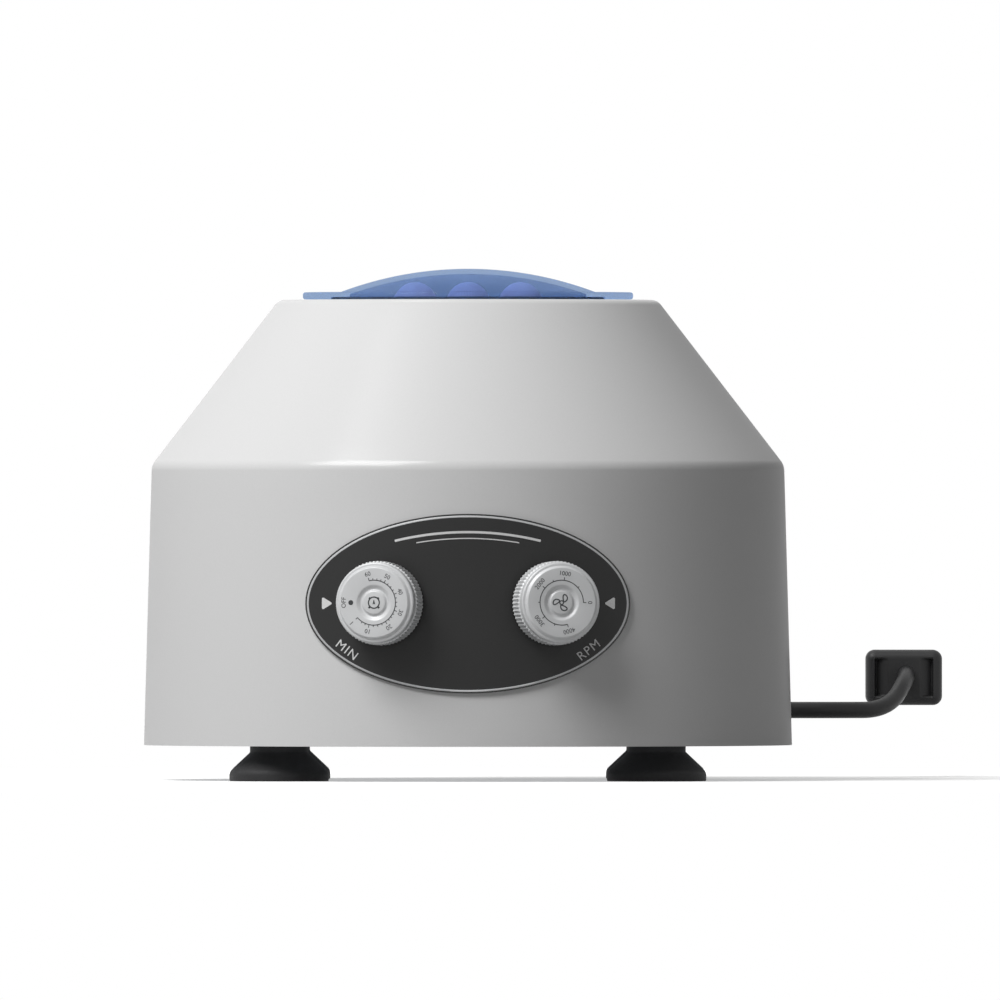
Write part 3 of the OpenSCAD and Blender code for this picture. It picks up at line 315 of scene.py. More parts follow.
def lettering(text, height, low, high, space=1.0):
    """Words in the built-in typeface as a flat mesh, centred on zero, with capitals of this height."""
    capital_share = 0.72
    curve = bpy.data.curves.new("words", "FONT")
    curve.body = text
    curve.size = height / capital_share
    curve.align_x = "CENTER"
    curve.extrude = (high - low) / 2
    curve.space_character = space
    curve.resolution_u = 3
    holder = bpy.data.objects.new("words", curve)
    bpy.context.scene.collection.objects.link(holder)
    bpy.context.view_layer.update()
    mesh = bpy.data.meshes.new_from_object(holder.evaluated_get(bpy.context.evaluated_depsgraph_get()))
    points = np.zeros(len(mesh.vertices) * 3)
    mesh.vertices.foreach_get("co", points)
    points = points.reshape(-1, 3)
    points[:, 1] -= height / 2
    points[:, 2] += (low + high) / 2
    faces = [list(p.vertices) for p in mesh.polygons]
    bpy.data.objects.remove(holder)
    bpy.data.curves.remove(curve)
    bpy.data.meshes.remove(mesh)
    return points, faces


def turned(points, angle, move=(0, 0)):
    """Points turned about Z by an angle in degrees, then moved in the XY plane."""
    a = math.radians(angle)
    points = np.array(points, float)
    x = points[..., 0] * math.cos(a) - points[..., 1] * math.sin(a) + move[0]
    y = points[..., 0] * math.sin(a) + points[..., 1] * math.cos(a) + move[1]
    return np.stack((x, y, points[..., 2]), -1)


# Materials

def add(tree, kind, inputs=None, **settings):
    """Adds a node: settings are its own properties, inputs are values or sockets to link."""
    made = tree.nodes.new(kind)
    for key, value in settings.items():
        setattr(made, key, value)
    for key, value in (inputs or {}).items():
        if isinstance(value, bpy.types.NodeSocket):
            tree.links.new(value, made.inputs[key])
        else:
            made.inputs[key].default_value = value
    return made


def blank(name, **sockets):
    """A material with one Principled shader whose plain values are set on its own sockets."""
    made = bpy.data.materials.new(name)
    made.use_nodes = True
    tree = made.node_tree
    shader = tree.nodes["Principled BSDF"]
    for key, value in sockets.items():
        shader.inputs[key.replace("_", " ")].default_value = value
    where = add(tree, "ShaderNodeTexCoord").outputs["Object"]
    return made, tree, shader, where


def finish(name, tint, shades, patch_size, detail, **sockets):
    """A material whose base colour drifts between a darker and a lighter shade of its tint, in soft
    patches of this size. The drift, from zero to one, comes back too."""
    made, tree, shader, where = blank(name, **sockets)
    noise = add(tree, "ShaderNodeTexNoise", {"Vector": where, "Scale": 1 / patch_size, "Detail": detail})
    drift = noise.outputs["Fac"]
    dark, light = [rgba([min(1, c * share) for c in tint]) for share in shades]
    tone = add(tree, "ShaderNodeMixRGB", {"Fac": drift, "Color1": dark, "Color2": light})
    tree.links.new(tone.outputs["Color"], shader.inputs["Base Color"])
    return made, tree, shader, where, drift


def skin(tree, shader, marks, low, high, strength, depth):
    """Fine marks on a surface: they move the roughness between two values and lift it by a depth."""
    gloss = add(tree, "ShaderNodeMapRange", {"Value": marks, "From Min": 0.3, "From Max": 0.7,
                                             "To Min": low, "To Max": min(1, high)})
    bump = add(tree, "ShaderNodeBump", {"Height": marks, "Strength": strength, "Distance": depth})
    tree.links.new(gloss.outputs["Result"], shader.inputs["Roughness"])
    tree.links.new(bump.outputs["Normal"], shader.inputs["Normal"])


def stoved_enamel(paint):
    """Pale stoved enamel on spun steel: soft gloss, faint orange peel about 2 mm across."""
    made, tree, shader, where, _ = finish(
        "stoved_enamel", paint, (0.975, 1.025), 0.7 * MM, 3.0,
        Specular_IOR_Level=0.02, Coat_Weight=0.13, Coat_Roughness=0.2, Coat_IOR=2.4)
    peel = add(tree, "ShaderNodeTexNoise", {"Vector": where, "Scale": 1 / (2.2 * MM), "Detail": 2.0})
    smear = add(tree, "ShaderNodeTexNoise", {"Vector": where, "Scale": 1 / (60 * MM), "Detail": 1.0})
    gloss = add(tree, "ShaderNodeMapRange", {"Value": smear.outputs["Fac"], "To Min": 0.45, "To Max": 0.6})
    bump = add(tree, "ShaderNodeBump", {"Height": peel.outputs["Fac"], "Strength": 0.05,
                                        "Distance": 0.3 * MM})
    tree.links.new(gloss.outputs["Result"], shader.inputs["Roughness"])
    tree.links.new(bump.outputs["Normal"], shader.inputs["Normal"])
    return made


def tinted_acrylic(tint):
    """Moulded acrylic with a milky blue tint: thin walls that hardly bend light, and a polished skin."""
    made, tree, shader, _, flow = finish(
        "tinted_acrylic", tint, (0.97, 1.03), 30 * MM, 2.0,
        IOR=1.0, Transmission_Weight=0.9, Coat_Weight=0.08, Coat_Roughness=0.1, Coat_IOR=2.4)
    haze = add(tree, "ShaderNodeMapRange", {"Value": flow, "To Min": 0.01, "To Max": 0.03})
    tree.links.new(haze.outputs["Result"], shader.inputs["Roughness"])
    return made


def moulded(name, tint, rough, grain, depth, spread=0.12, shine=0.5):
    """Moulded rubber or plastic: an even colour with a fine spark-eroded grain in the skin."""
    made, tree, shader, where, _ = finish(name, tint, (1 - spread, 1 + spread), 18 * MM, 2.0,
                                          Roughness=rough, IOR=1.5, Specular_IOR_Level=shine)
    pits = add(tree, "ShaderNodeTexNoise", {"Vector": where, "Scale": 1 / grain, "Detail": 3.0})
    skin(tree, shader, pits.outputs["Fac"], rough * 0.85, rough * 1.15, 0.25, depth)
    return made


def metal(name, tint, rough, grain, stretch=(1, 1, 1), depth=0.02 * MM, metallic=1.0):
    """Bare or plated metal: bright, with fine marks that run along one way where it was drawn."""
    made, tree, shader, where, _ = finish(name, tint, (0.9, 1.08), 14 * MM, 3.0,
                                          Roughness=rough, Metallic=metallic)
    along = add(tree, "ShaderNodeMapping", {"Vector": where, "Scale": stretch}).outputs["Vector"]
    marks = add(tree, "ShaderNodeTexNoise", {"Vector": along, "Scale": 1 / grain, "Detail": 4.0})
    skin(tree, shader, marks.outputs["Fac"], rough * 0.8, rough * 1.25, 0.2, depth)
    return made


def turned_metal(name, tint, rough, pitch):
    """Metal faced on a lathe: rings round the Z axis, drawn a little coarse so that they show."""
    made, tree, shader, where, _ = finish(name, tint, (0.92, 1.06), 14 * MM, 3.0,
                                          Roughness=rough, Metallic=1.0)
    rings = add(tree, "ShaderNodeTexWave", {"Vector": where, "Scale": 1 / pitch / 20 * 2 * math.pi,
                                            "Distortion": 0.4, "Detail": 2.0},
                wave_type="RINGS", rings_direction="Z")
    bump = add(tree, "ShaderNodeBump", {"Height": rings.outputs["Fac"], "Strength": 0.15,
                                        "Distance": 0.03 * MM})
    tree.links.new(bump.outputs["Normal"], shader.inputs["Normal"])
    return made


def clear_plastic(name, tint, rough):
    """Moulded clear plastic: thin walls that pass light, with a faint flow haze."""
    made, tree, shader, _, flow = finish(name, tint, (0.97, 1.0), 12 * MM, 2.0,
                                         Roughness=rough, IOR=1.49, Transmission_Weight=0.9)
    haze = add(tree, "ShaderNodeMapRange", {"Value": flow, "To Min": rough * 0.6, "To Max": rough * 1.4})
    tree.links.new(haze.outputs["Result"], shader.inputs["Roughness"])
    return made


def ink(name, tint, metallic=0.0, rough=0.45):
    """Screen-printing ink: a thin even film with slightly uneven cover."""
    return finish(name, tint, (0.9, 1.08), 0.6 * MM, 2.0, Roughness=rough, Metallic=metallic)[0]


def seen_rays(tree):
    """One for a ray that shows a thing to the eye, straight, mirrored or through glass, and else zero."""
    rays = add(tree, "ShaderNodeLightPath").outputs
    plain = add(tree, "ShaderNodeMath", {0: rays["Is Camera Ray"], 1: rays["Is Glossy Ray"]},
                operation="MAXIMUM")
    seen = add(tree, "ShaderNodeMath", {0: plain.outputs["Value"], 1: rays["Is Transmission Ray"]},
               operation="MAXIMUM")
    return seen.outputs["Value"]


def dress(material, *names):
    """Gives a finish to solids that keep their own shape."""
    for name in names:
        NODES[name].data.materials[0] = material


# Places on the housing

def top_height():
    """Height of the flat top above the bench."""
    h = bpy.context.scene.cf_housing
    return h.foot_h + h.wall_h + h.cone_h


def control_height():
    """Height of the middle of the panel and the knobs, a little above the middle of the wall."""
    h = bpy.context.scene.cf_housing
    return h.foot_h + h.wall_h / 2 + 0.8 * MM


def wall_taper():
    """Lean of the lower wall from the vertical."""
    h = bpy.context.scene.cf_housing
    return math.atan((h.base_d - h.shoulder_d) / 2 / h.wall_h)


def wall_radius(z):
    """Outer radius of the lower wall at a height: a straight taper."""
    h = bpy.context.scene.cf_housing
    return h.base_d / 2 + (h.shoulder_d - h.base_d) / 2 * (np.asarray(z) - h.foot_h) / h.wall_h


def wall_axes(angle, z):
    """Origin on the wall and the directions right, up and out there, for an angle from +X."""
    taper = wall_taper()
    c, s = math.cos(angle), math.sin(angle)
    origin = np.array([wall_radius(z) * c, wall_radius(z) * s, z])
    right = np.array([-s, c, 0])
    up = np.array([-math.sin(taper) * c, -math.sin(taper) * s, math.cos(taper)])
    out = np.array([math.cos(taper) * c, math.cos(taper) * s, math.sin(taper)])
    return origin, right, up, out


def on_wall(points, angle, z, stand):
    """Carries flat points (right, up, out) to the wall at an angle and a height, off it by a stand."""
    origin, right, up, out = wall_axes(angle, z)
    return origin + points[..., :1] * right + points[..., 1:2] * up + (points[..., 2:3] + stand) * out


def on_front(points, stand):
    """Lays points (across, above the panel's middle, off the sheet) on the wall, straight along Y."""
    z = control_height() + points[..., 1]
    r = wall_radius(z) + stand + points[..., 2]
    return np.stack((points[..., 0], -np.sqrt(r ** 2 - points[..., 0] ** 2), z), -1)


# Operators

class CENTRIFUGE_OT_housing(Operator):
    """Spun sheet shell: an upright wall, a shoulder, a cone and a flat top folded in at the mouth"""
    bl_idname = "centrifuge.housing"
    bl_label = "Housing"

    def execute(self, context):
        h = context.scene.cf_housing
        top = top_height()
        fold = 4 * MM
        line = [[h.base_d / 2, h.foot_h], [h.shoulder_d / 2, h.foot_h + h.wall_h], [h.top_d / 2, top],
                [h.mouth_d / 2, top], [h.mouth_d / 2, top - fold]]
        # Bends at the shoulder, at the edge of the top and at the mouth
        radii = np.array([7, 5, 2.2]) * MM
        outer = bend(line, radii, 14)
        inner = bend(offset(line, h.sheet_t), radii - h.sheet_t, 14)
        section = fill(np.vstack((outer, inner[::-1])), 9 * MM)
        # A flat ledge inside the lower wall
        rise, width = 4 * MM, 12 * MM
        low = h.foot_h + rise
        high = low + h.sheet_t
        wall = wall_radius(low) - h.sheet_t
        ledge = [[wall, low], [wall, high], [wall - width, high], [wall - width, low]]
        points, faces = stack([lathe(section, 288), lathe(ledge, 288)])
        enamel = stoved_enamel(h.paint)
        piece("housing_shell", points, faces, enamel, "base", 34, ("housing",))
        dress(enamel, "chamber_pan")
        return {"FINISHED"}


class CENTRIFUGE_OT_feet(Operator):
    """Four rubber sucker feet: neck, cone and upright rim, hollow below"""
    bl_idname = "centrifuge.feet"
    bl_label = "Feet"

    def execute(self, context):
        h = context.scene.cf_housing
        # Black rubber is dull, with a fine grain from the mould
        rubber = moulded("black_rubber", h.rubber, 0.62, 0.5 * MM, 0.05 * MM, shine=0.25)
        r, bottom = h.foot_d / 2 / MM, h.foot_h / MM
        top = bottom + 2.5
        # Corners in millimetres: top of the bore, neck, cone, rim, hollow and foot of the bore
        line = [[2.2, top], [10.6, top], [11.2, top - 0.6], [11.2, bottom - 2.5], [r, 3.6], [r, 0],
                [r - 4, 0], [7, 5], [5, 5], [5, 8], [2.2, 8]]
        radii = [0, 0, 1.2, 3.0, 0.5, 0.4, 0.6, 0, 0]
        section = fill(bend(np.array(line) * MM, np.array(radii) * MM, 6), 3 * MM)
        points, faces = lathe(section, 96)
        for name, x, y in (("front_left", -1, -1), ("front_right", 1, -1), ("rear_left", -1, 1),
                           ("rear_right", 1, 1)):
            place = np.array([x, y, 0]) * h.foot_pitch / 2
            piece("sucker_" + name, points + place, faces, rubber, "base", 40,
                  ("foot_" + name,))
        dress(rubber, "mouth_edging", "shaft_boot", "motor_dampers", "sleeve_cushions")
        return {"FINISHED"}


class CENTRIFUGE_OT_lid(Operator):
    """Tinted lid: rounded flat rim, a dome that is part of a sphere, and a skirt in the mouth"""
    bl_idname = "centrifuge.lid"
    bl_label = "Lid"

    def execute(self, context):
        h, d = context.scene.cf_housing, context.scene.cf_lid
        low = top_height() + 0.2 * MM
        top = low + d.rim_t
        r = (d.dome_d ** 2 / 4 + d.dome_rise ** 2) / 2 / d.dome_rise
        middle = (0, top + d.dome_rise - r)
        # The skirt clears the mouth, and a step above the edging seats the lid
        skirt_out = h.mouth_d / 2 - 1.6 * MM
        skirt_in = skirt_out - 1.8 * MM
        skirt_end = low - d.skirt_h
        seat_r = h.mouth_d / 2 + 3.8 * MM
        seat_z = top_height() + 1.1 * MM
        outer_a = math.degrees(math.asin(d.dome_d / 2 / r))
        inner_a = math.degrees(math.asin(skirt_in / (r - d.wall)))
        edge = 0.9 * MM
        chamfer = 0.4 * MM
        rim = d.rim_d / 2 - edge
        section = np.vstack((
            [[seat_r, low]], arc((rim, low + edge), edge, -90, 0, 6), arc((rim, top - edge), edge, 0, 90, 6),
            arc(middle, r, 90 - outer_a, 90, 32), arc(middle, r - d.wall, 90, 90 - inner_a, 32),
            [[skirt_in, skirt_end + chamfer], [skirt_in + chamfer, skirt_end],
             [skirt_out - chamfer, skirt_end], [skirt_out, skirt_end + chamfer], [skirt_out, seat_z],
             [seat_r, seat_z]]))
        points, faces = lathe(section, 256)
        piece("tinted_lid", points, faces, tinted_acrylic(d.tint), "lid", 20, ("lid",))
        return {"FINISHED"}


class CENTRIFUGE_OT_panel(Operator):
    """Oval panel wrapped on the wall: black edge, silver line, dark field and printed marks"""
    bl_idname = "centrifuge.panel"
    bl_label = "Panel"

    def execute(self, context):
        p = context.scene.cf_panel
        sides = 240
        a = around(sides)
        oval = heading(a) * (p.width / 2, p.height / 2)
        normal = heading(a) / (p.width, p.height)
        normal /= np.linalg.norm(normal, axis=1)[:, None]
        stand = 0.1 * MM + p.thickness

        def inset(depth, height, shrink=1.0):
            """The oval moved in square to its edge, then shrunk, at a height off the sheet."""
            return np.column_stack(((oval - normal * depth) * shrink, np.full(sides, height)))

        # Printed polyester: a black border with some gloss, and a matt field a little paler
        edge = moulded("printed_polyester_edge", p.edge, 0.4, 0.6 * MM, 0.01 * MM)
        field = moulded("printed_polyester_field", p.field, 0.5, 0.5 * MM, 0.02 * MM, 0.05, 0.28)
        dress(edge, "panel_plate")

        # Silver ink scatters light, so it has little of a mirror's contrast
        silver = ink("silver_ink", p.silver, 0.3, 0.6)
        first, slope, film = 0.62 * MM, 0.03 * MM, 0.05 * MM
        last = first + p.line
        rows = [inset(first, 0.0), inset(first + slope, film), inset(last - slope, film), inset(last, 0.0)]
        points, faces = on_front(np.stack(rows), stand), grid_faces(len(rows), sides, True, True)
        piece("panel_silver_line", points, faces, silver, "base", 60)

        first, film = 0.9 * MM + p.line, 0.04 * MM
        shrink = np.concatenate((np.linspace(1, 0.9, 4), np.linspace(0.8, 0.0, 9)))
        rows = [inset(first, 0.0)] + [inset(first, film, s) for s in shrink]
        points, faces = on_front(np.stack(rows), stand), grid_faces(len(rows), sides, False, True)
        piece("panel_field", points, faces, field, "base", 60)

        points, faces = self.marks()
        white = ink("white_ink", linear("#DCDCDC"))
        piece("panel_marks", on_front(points, stand), faces, white, "base", 40)
        return {"FINISHED"}

    def marks(self):
        """White print, in millimetres from the panel's middle: two arrowheads with round corners that
        point inwards, two arcs about one centre, and the short units of the two dials."""
        low, high = 0.03 * MM, 0.09 * MM
        parts = []
        arrow = np.array([[-2.1, 2.6], [-2.1, -2.6], [2.1, 0]])
        for side, x in ((1, -53.8), (-1, 54.3)):
            corners = arrow * (side, 1) + (x, 0.1)
            middle = (corners[-1:] + corners[:1]) / 2
            outline = bend(np.vstack((middle, corners, middle)) * MM, [0.5 * MM] * 3, 6)[:-1]
            parts.append(patch(outline, low, high))
        outer_r, crest = 118, 27.4
        for radius, half, width in ((outer_r, 13.7, 0.9), (115.6, 9.8, 0.4)):
            sweep = arc((0, crest - outer_r), radius, 90 - half, 90 + half, 40) * MM
            parts.append(ribbon(sweep, width * MM, low, high))
        for text, x, y, turn in (("MIN", -46.2, -17.6, -38), ("RPM", 46.2, -17.6, 38)):
            points, faces = lettering(text, 3.5 * MM, low, high, 1.15)
            parts.append((turned(points, turn, (x * MM, y * MM)), faces))
        return stack(parts)


def clock_sign(low, high):
    """A small clock face: a ring, a hand that narrows upwards, and four stubs round the ring."""
    ring = heading(around(48)) * 2.15 * MM
    hand = np.array([[-0.5, -0.7], [0, -0.45], [0.5, -0.7], [0.1, 1.05], [-0.1, 1.05]]) * MM
    parts = [ribbon(ring, 0.5 * MM, low, high, True), patch(hand, low, high)]
    for angle, reach in ((-45, 2.95), (-135, 2.95), (45, 2.7), (135, 2.7)):
        way = heading(math.radians(angle))
        parts.append(ribbon(np.array([way * 2.3, way * reach]) * MM, 0.75 * MM, low, high))
    return parts


def fan_sign(low, high):
    """A three-bladed fan: a hub ring and three leaf-shaped loops, each an oval drawn to one side."""
    a = around(48)
    parts = [ribbon(heading(a) * 0.72 * MM, 0.42 * MM, low, high, True)]
    across = 0.95 * np.sin(a) * (1 + 0.4 * np.cos(a)) + 0.5 * np.cos(a)
    leaf = np.column_stack((2.08 + 1.22 * np.cos(a), across)) * MM
    for angle in (50, 170, 290):
        points, faces = ribbon(leaf, 0.46 * MM, low, high, True)
        parts.append((turned(points, angle), faces))
    return parts


class CENTRIFUGE_OT_knobs(Operator):
    """Two plated knobs: ribs that follow a cosine, a stepped front, a dished middle and a printed dial"""
    bl_idname = "centrifuge.knobs"
    bl_label = "Knobs"

    def execute(self, context):
        k = context.scene.cf_knob
        # Satin plate on plastic is silvery and soft, with hardly any mirror image
        plated = metal("plated_plastic", k.silver, 0.42, 0.35 * MM, depth=0.01 * MM, metallic=0.1)
        dark = ink("dial_ink", k.ink)
        points, faces = self.shape(k)
        scale = self.scales(k)
        stand = 2.0 * MM
        for name, side in (("timer", -1), ("speed", 1)):
            angle = -math.pi / 2 + side * k.angle
            placed = on_wall(points, angle, control_height(), stand)
            piece(name + "_knob_plated", placed, faces, plated, name + "_dial", 30,
                  (name + "_knob",))
            print_points, print_faces = scale[name]
            placed = on_wall(print_points, angle, control_height(), stand)
            piece(name + "_dial_print", placed, print_faces, dark, name + "_dial", 40)
        return {"FINISHED"}

    def shape(self, k):
        """Knob on +Z, its section in millimetres: a hollow back round a boss, a band of ribs that fade at
        both ends, a stepped front, and a dish and a button that each follow half a cosine."""
        r, top, band = k.diameter / 2 / MM, k.depth / MM, k.rib_h / MM
        back = [[0, 10], [3.05, 10], [3.05, 2.5], [5.2, 2.5], [5.2, 10.5], [13.9, 10.5], [13.9, 0.3],
                [14.2, 0.0], [15.3, 0.0]]
        ribs = [[r, 0.5], [r, 0.8], [r, band - 0.8], [r, band - 0.4]]
        front = bend([[15.45, band], [15.45, 12.4], [14.2, 12.4], [13.35, top], [7.1, top]],
                     [0.75, 0.12, 0.5], 6)
        t = np.linspace(0.1, 1, 9)
        dish = np.column_stack((7.1 - 1.9 * t, top - 0.45 * (1 - np.cos(np.pi * t))))
        t = np.linspace(0.15, 1, 7)
        button = np.column_stack((5.2 - 1.1 * t, top - 0.9 + 0.35 * (1 - np.cos(np.pi * t))))
        section = np.vstack((back, ribs, [[15.5, band]], front, dish, button, [[0, top - 0.2]]))
        ribbed = np.zeros(len(section))
        ribbed[len(back):len(back) + len(ribs)] = (0.6, 1, 1, 0.6)
        points, faces = lathe(section, k.ribs * 10, False, ribbed, k.rib_depth / MM, k.ribs)
        return points * MM, faces

    def scales(self, k):
        """Printed dials: an arc, ticks and numbers, at angles counted from the right, counterclockwise."""
        low, high = k.depth - 0.02 * MM, k.depth + 0.05 * MM
        button = k.depth - 0.22 * MM
        ring, line, tick, digit = 8.6, 0.34 * MM, 0.28 * MM, 1.75 * MM
        minutes = {0: 180, 1: 222, 10: 258, 20: 303, 30: 340, 40: 382, 50: 422, 60: 463}
        speeds = {0: 0, 1000: 83, 2000: 140, 3000: 218, 4000: 285}
        # Text and radius of the two marks that differ from the plain numbers
        special = {("timer", 0): ("OFF", 12.0), ("timer", 1): ("1", 11.8)}
        out = {}
        for name, marks, start, step in (("timer", minutes, 1, 2.5), ("speed", speeds, 0, 500)):
            keys = sorted(marks)
            angles = [marks[i] for i in keys]
            sweep = np.radians(np.linspace(marks[start], angles[-1], 120))
            parts = [ribbon(heading(sweep) * ring * MM, line, low, high)]
            ticks = [(np.interp(value, keys, angles), 1.15 if value in marks else 0.7)
                     for value in np.arange(0, keys[-1] + 1, step)]
            if name == "timer":
                # The timer's first tick is at one minute, and the next at five
                ticks = [(marks[1], 0.9)] + ticks[2:]
            for angle, reach in ticks:
                way = heading(math.radians(angle))
                parts.append(ribbon(np.array([way * ring, way * (ring + reach)]) * MM, tick, low, high))
            for value, angle in marks.items():
                text, radius = special.get((name, value), (str(value), 11.3))
                points, faces = lettering(text, digit, low, high)
                parts.append((turned(points, angle - 90, heading(math.radians(angle)) * radius * MM), faces))
            if name == "timer":
                spot = (heading(around(32)) * 0.95 + (-9.1, 0)) * MM
                parts.append(patch(spot, low, high))
            sign = {"timer": clock_sign, "speed": fan_sign}[name]
            parts += sign(button - 0.02 * MM, button + 0.07 * MM)
            out[name] = stack(parts)
        return out


def plug_place(s):
    """Middle of the plug's back."""
    return np.array([s.plug_x, s.plug_y, s.plug_z])


def cord_path(s):
    """Middle line of the cord: straight out of the relief, an arc to the right that dips on half a
    cosine, a level run, then a quarter turn to the rear that climbs on two arcs into the plug."""
    h = bpy.context.scene.cf_housing
    taper = wall_taper()
    # The relief's nut just clears the ledge. In millimetres: its underside above the bottom edge, half
    # its width, and how far inside the wall it ends
    nut_low, nut_half, nut_end = 5.3, 8.5, 7.2
    z = h.foot_h + (nut_low + nut_half * math.cos(taper) + nut_end * math.sin(taper)) * MM
    foot, _, _, out = wall_axes(s.angle, z)
    inside, outside = -8, 34
    tip = foot + outside * MM * out
    end = plug_place(s) + np.array([0.8, 0, 1.3]) * MM
    sag = 1.3 * MM
    level = z - sag
    along = h.base_d / 2 + 33 * MM
    first_r = (along - tip[1]) / (1 - math.cos(s.angle))
    turn_r = 36 * MM
    climb_r = 38 * MM
    start = foot + np.linspace(inside, outside, 15)[:, None] * MM * out
    t = np.linspace(0, 1, 25)[1:]
    a = s.angle * (1 - t)
    first = np.column_stack((tip[0] + first_r * (math.sin(s.angle) - np.sin(a)),
                             tip[1] + first_r * (np.cos(a) - math.cos(s.angle)),
                             tip[2] + (level - tip[2]) * (1 - np.cos(np.pi * t)) / 2))
    a = np.linspace(0, np.pi / 2, 41)
    last_run = end[1] - along - turn_r
    before = last_run + turn_r * (np.pi / 2 - a)
    before = np.concatenate((before, [last_run / 2, 0]))
    half = climb_r * math.sin(math.acos(1 - (end[2] - level) / 2 / climb_r))
    risen = np.clip(2 * half - before, 0, half)
    left = np.clip(before, 0, half)
    low = level + climb_r - np.sqrt(climb_r ** 2 - risen ** 2)
    high = end[2] - climb_r + np.sqrt(climb_r ** 2 - left ** 2)
    x = np.concatenate((end[0] - turn_r + turn_r * np.sin(a), [end[0], end[0]]))
    y = np.concatenate((along + turn_r * (1 - np.cos(a)), [end[1] - last_run / 2, end[1]]))
    last = np.column_stack((x, y, np.where(before > half, low, high)))
    level_run = first[-1] + (last[0] - first[-1]) * np.linspace(0, 1, 7)[1:-1, None]
    return np.vstack((start, first, level_run, last))


def tube(path, radius, sides=32):
    """A round section carried along a path, square to it, with its first side kept level."""
    way = np.gradient(path, axis=0)
    way /= np.linalg.norm(way, axis=1)[:, None]
    across = np.cross(way, [0, 0, 1])
    across /= np.linalg.norm(across, axis=1)[:, None]
    up = np.cross(across, way)
    a = around(sides)
    ring = across[:, None] * np.cos(a)[None, :, None] + up[:, None] * np.sin(a)[None, :, None]
    faces = grid_faces(len(path), sides, False, True).tolist()
    last = sides * (len(path) - 1)
    faces += [list(range(sides))[::-1], list(range(last, last + sides))]
    return path[:, None] + ring * radius, faces


class CENTRIFUGE_OT_lead(Operator):
    """Mains lead: a round sheath on a smooth route, a moulded plug with finger recesses, and the relief"""
    bl_idname = "centrifuge.lead"
    bl_label = "Mains lead"

    def execute(self, context):
        s = context.scene.cf_lead
        # Black PVC: the extruded sheath is smoother than the moulded plug
        sheath = moulded("extruded_pvc", s.sheath, 0.42, 0.8 * MM, 0.03 * MM, shine=0.3)
        body = moulded("moulded_pvc", s.sheath, 0.5, 0.5 * MM, 0.04 * MM, shine=0.4)
        # Plated brass pins are a pale yellow with a clear shine
        pins = metal("plated_brass", linear("#C9B26A"), 0.28, 0.4 * MM)
        path = cord_path(s)
        points, faces = tube(path, s.cord_d / 2)
        cord = piece("mains_cord", points, faces, sheath, "base", 60, ("power_cord",))
        points, faces = self.plug(s)
        plug = piece("moulded_plug", points, faces, body, "base", 28, ("plug_body",))
        dress(body, "strain_relief", "relief_nut")
        dress(pins, "plug_pins")
        return {"FINISHED"}

    def plug(self, s):
        """A block along +Y with round corners. The back and the front are grids whose points near a
        corner are drawn in until their rings are round, and whose depth follows a quarter circle at
        the edge. The back sinks on a ramp in two finger recesses, and a band joins the two edges."""
        corner, bevel, nose = 3.6, 3.4, 2.6
        w, h, depth = s.plug_w / 2 / MM, s.plug_h / 2 / MM, s.plug_depth / MM
        edge = bevel * (1 - np.cos(np.linspace(0, np.pi / 2, 11)))

        def steps(reach):
            """Places from edge to edge: close together on the round edge, about 0.3 mm apart inside."""
            inner = np.linspace(bevel - reach, reach - bevel, int((reach - bevel) * 2 / 0.3))
            return np.concatenate((edge - reach, inner[1:-1], reach - edge[::-1]))

        x, z = np.meshgrid(steps(w), steps(h), indexing="ij")
        dx, dz = np.abs(x) - (w - corner), np.abs(z) - (h - corner)
        rim = np.minimum(w - np.abs(x), h - np.abs(z))
        draw = np.where((dx > 0) & (dz > 0), np.maximum(dx, dz) / np.hypot(dx, dz), 1)
        x = np.where(draw < 1, np.sign(x) * (w - corner + dx * draw), x)
        z = np.where(draw < 1, np.sign(z) * (h - corner + dz * draw), z)

        def dip(radius):
            """Depth of a quarter circle at this place: the radius at the edge and zero further in."""
            return radius - np.sqrt(np.maximum(0, radius ** 2 - np.maximum(0, radius - rim) ** 2))

        # Each recess starts beside the middle ridge, sinks along a slope and ends in steep sides
        ridge, slope, sunk = 6.3, 4.5, 2.4
        side_x, steep_x = 11.4, 0.6
        side_z, steep_z = 7.5, 0.5
        ramp = np.clip((np.abs(x) - ridge) / slope, 0, 1) * np.clip((side_x - np.abs(x)) / steep_x, 0, 1)
        sink = sunk * ramp * np.clip((side_z - np.abs(z)) / steep_z, 0, 1)
        back = np.stack((x, dip(bevel) + sink, z), -1)
        front = np.stack((x, depth - dip(nose), z), -1)
        rows, columns = x.shape
        loop = np.concatenate((np.arange(rows) * columns, (rows - 1) * columns + np.arange(1, columns),
                               np.arange(rows - 2, -1, -1) * columns + columns - 1,
                               np.arange(columns - 2, 0, -1)))
        band = np.stack((back.reshape(-1, 3)[loop], front.reshape(-1, 3)[loop]))
        parts = [(back, grid_faces(rows, columns)), (front, grid_faces(rows, columns)),
                 (band, grid_faces(2, len(loop), False, True))]
        points, faces = stack(parts)
        return points * MM + plug_place(s), faces


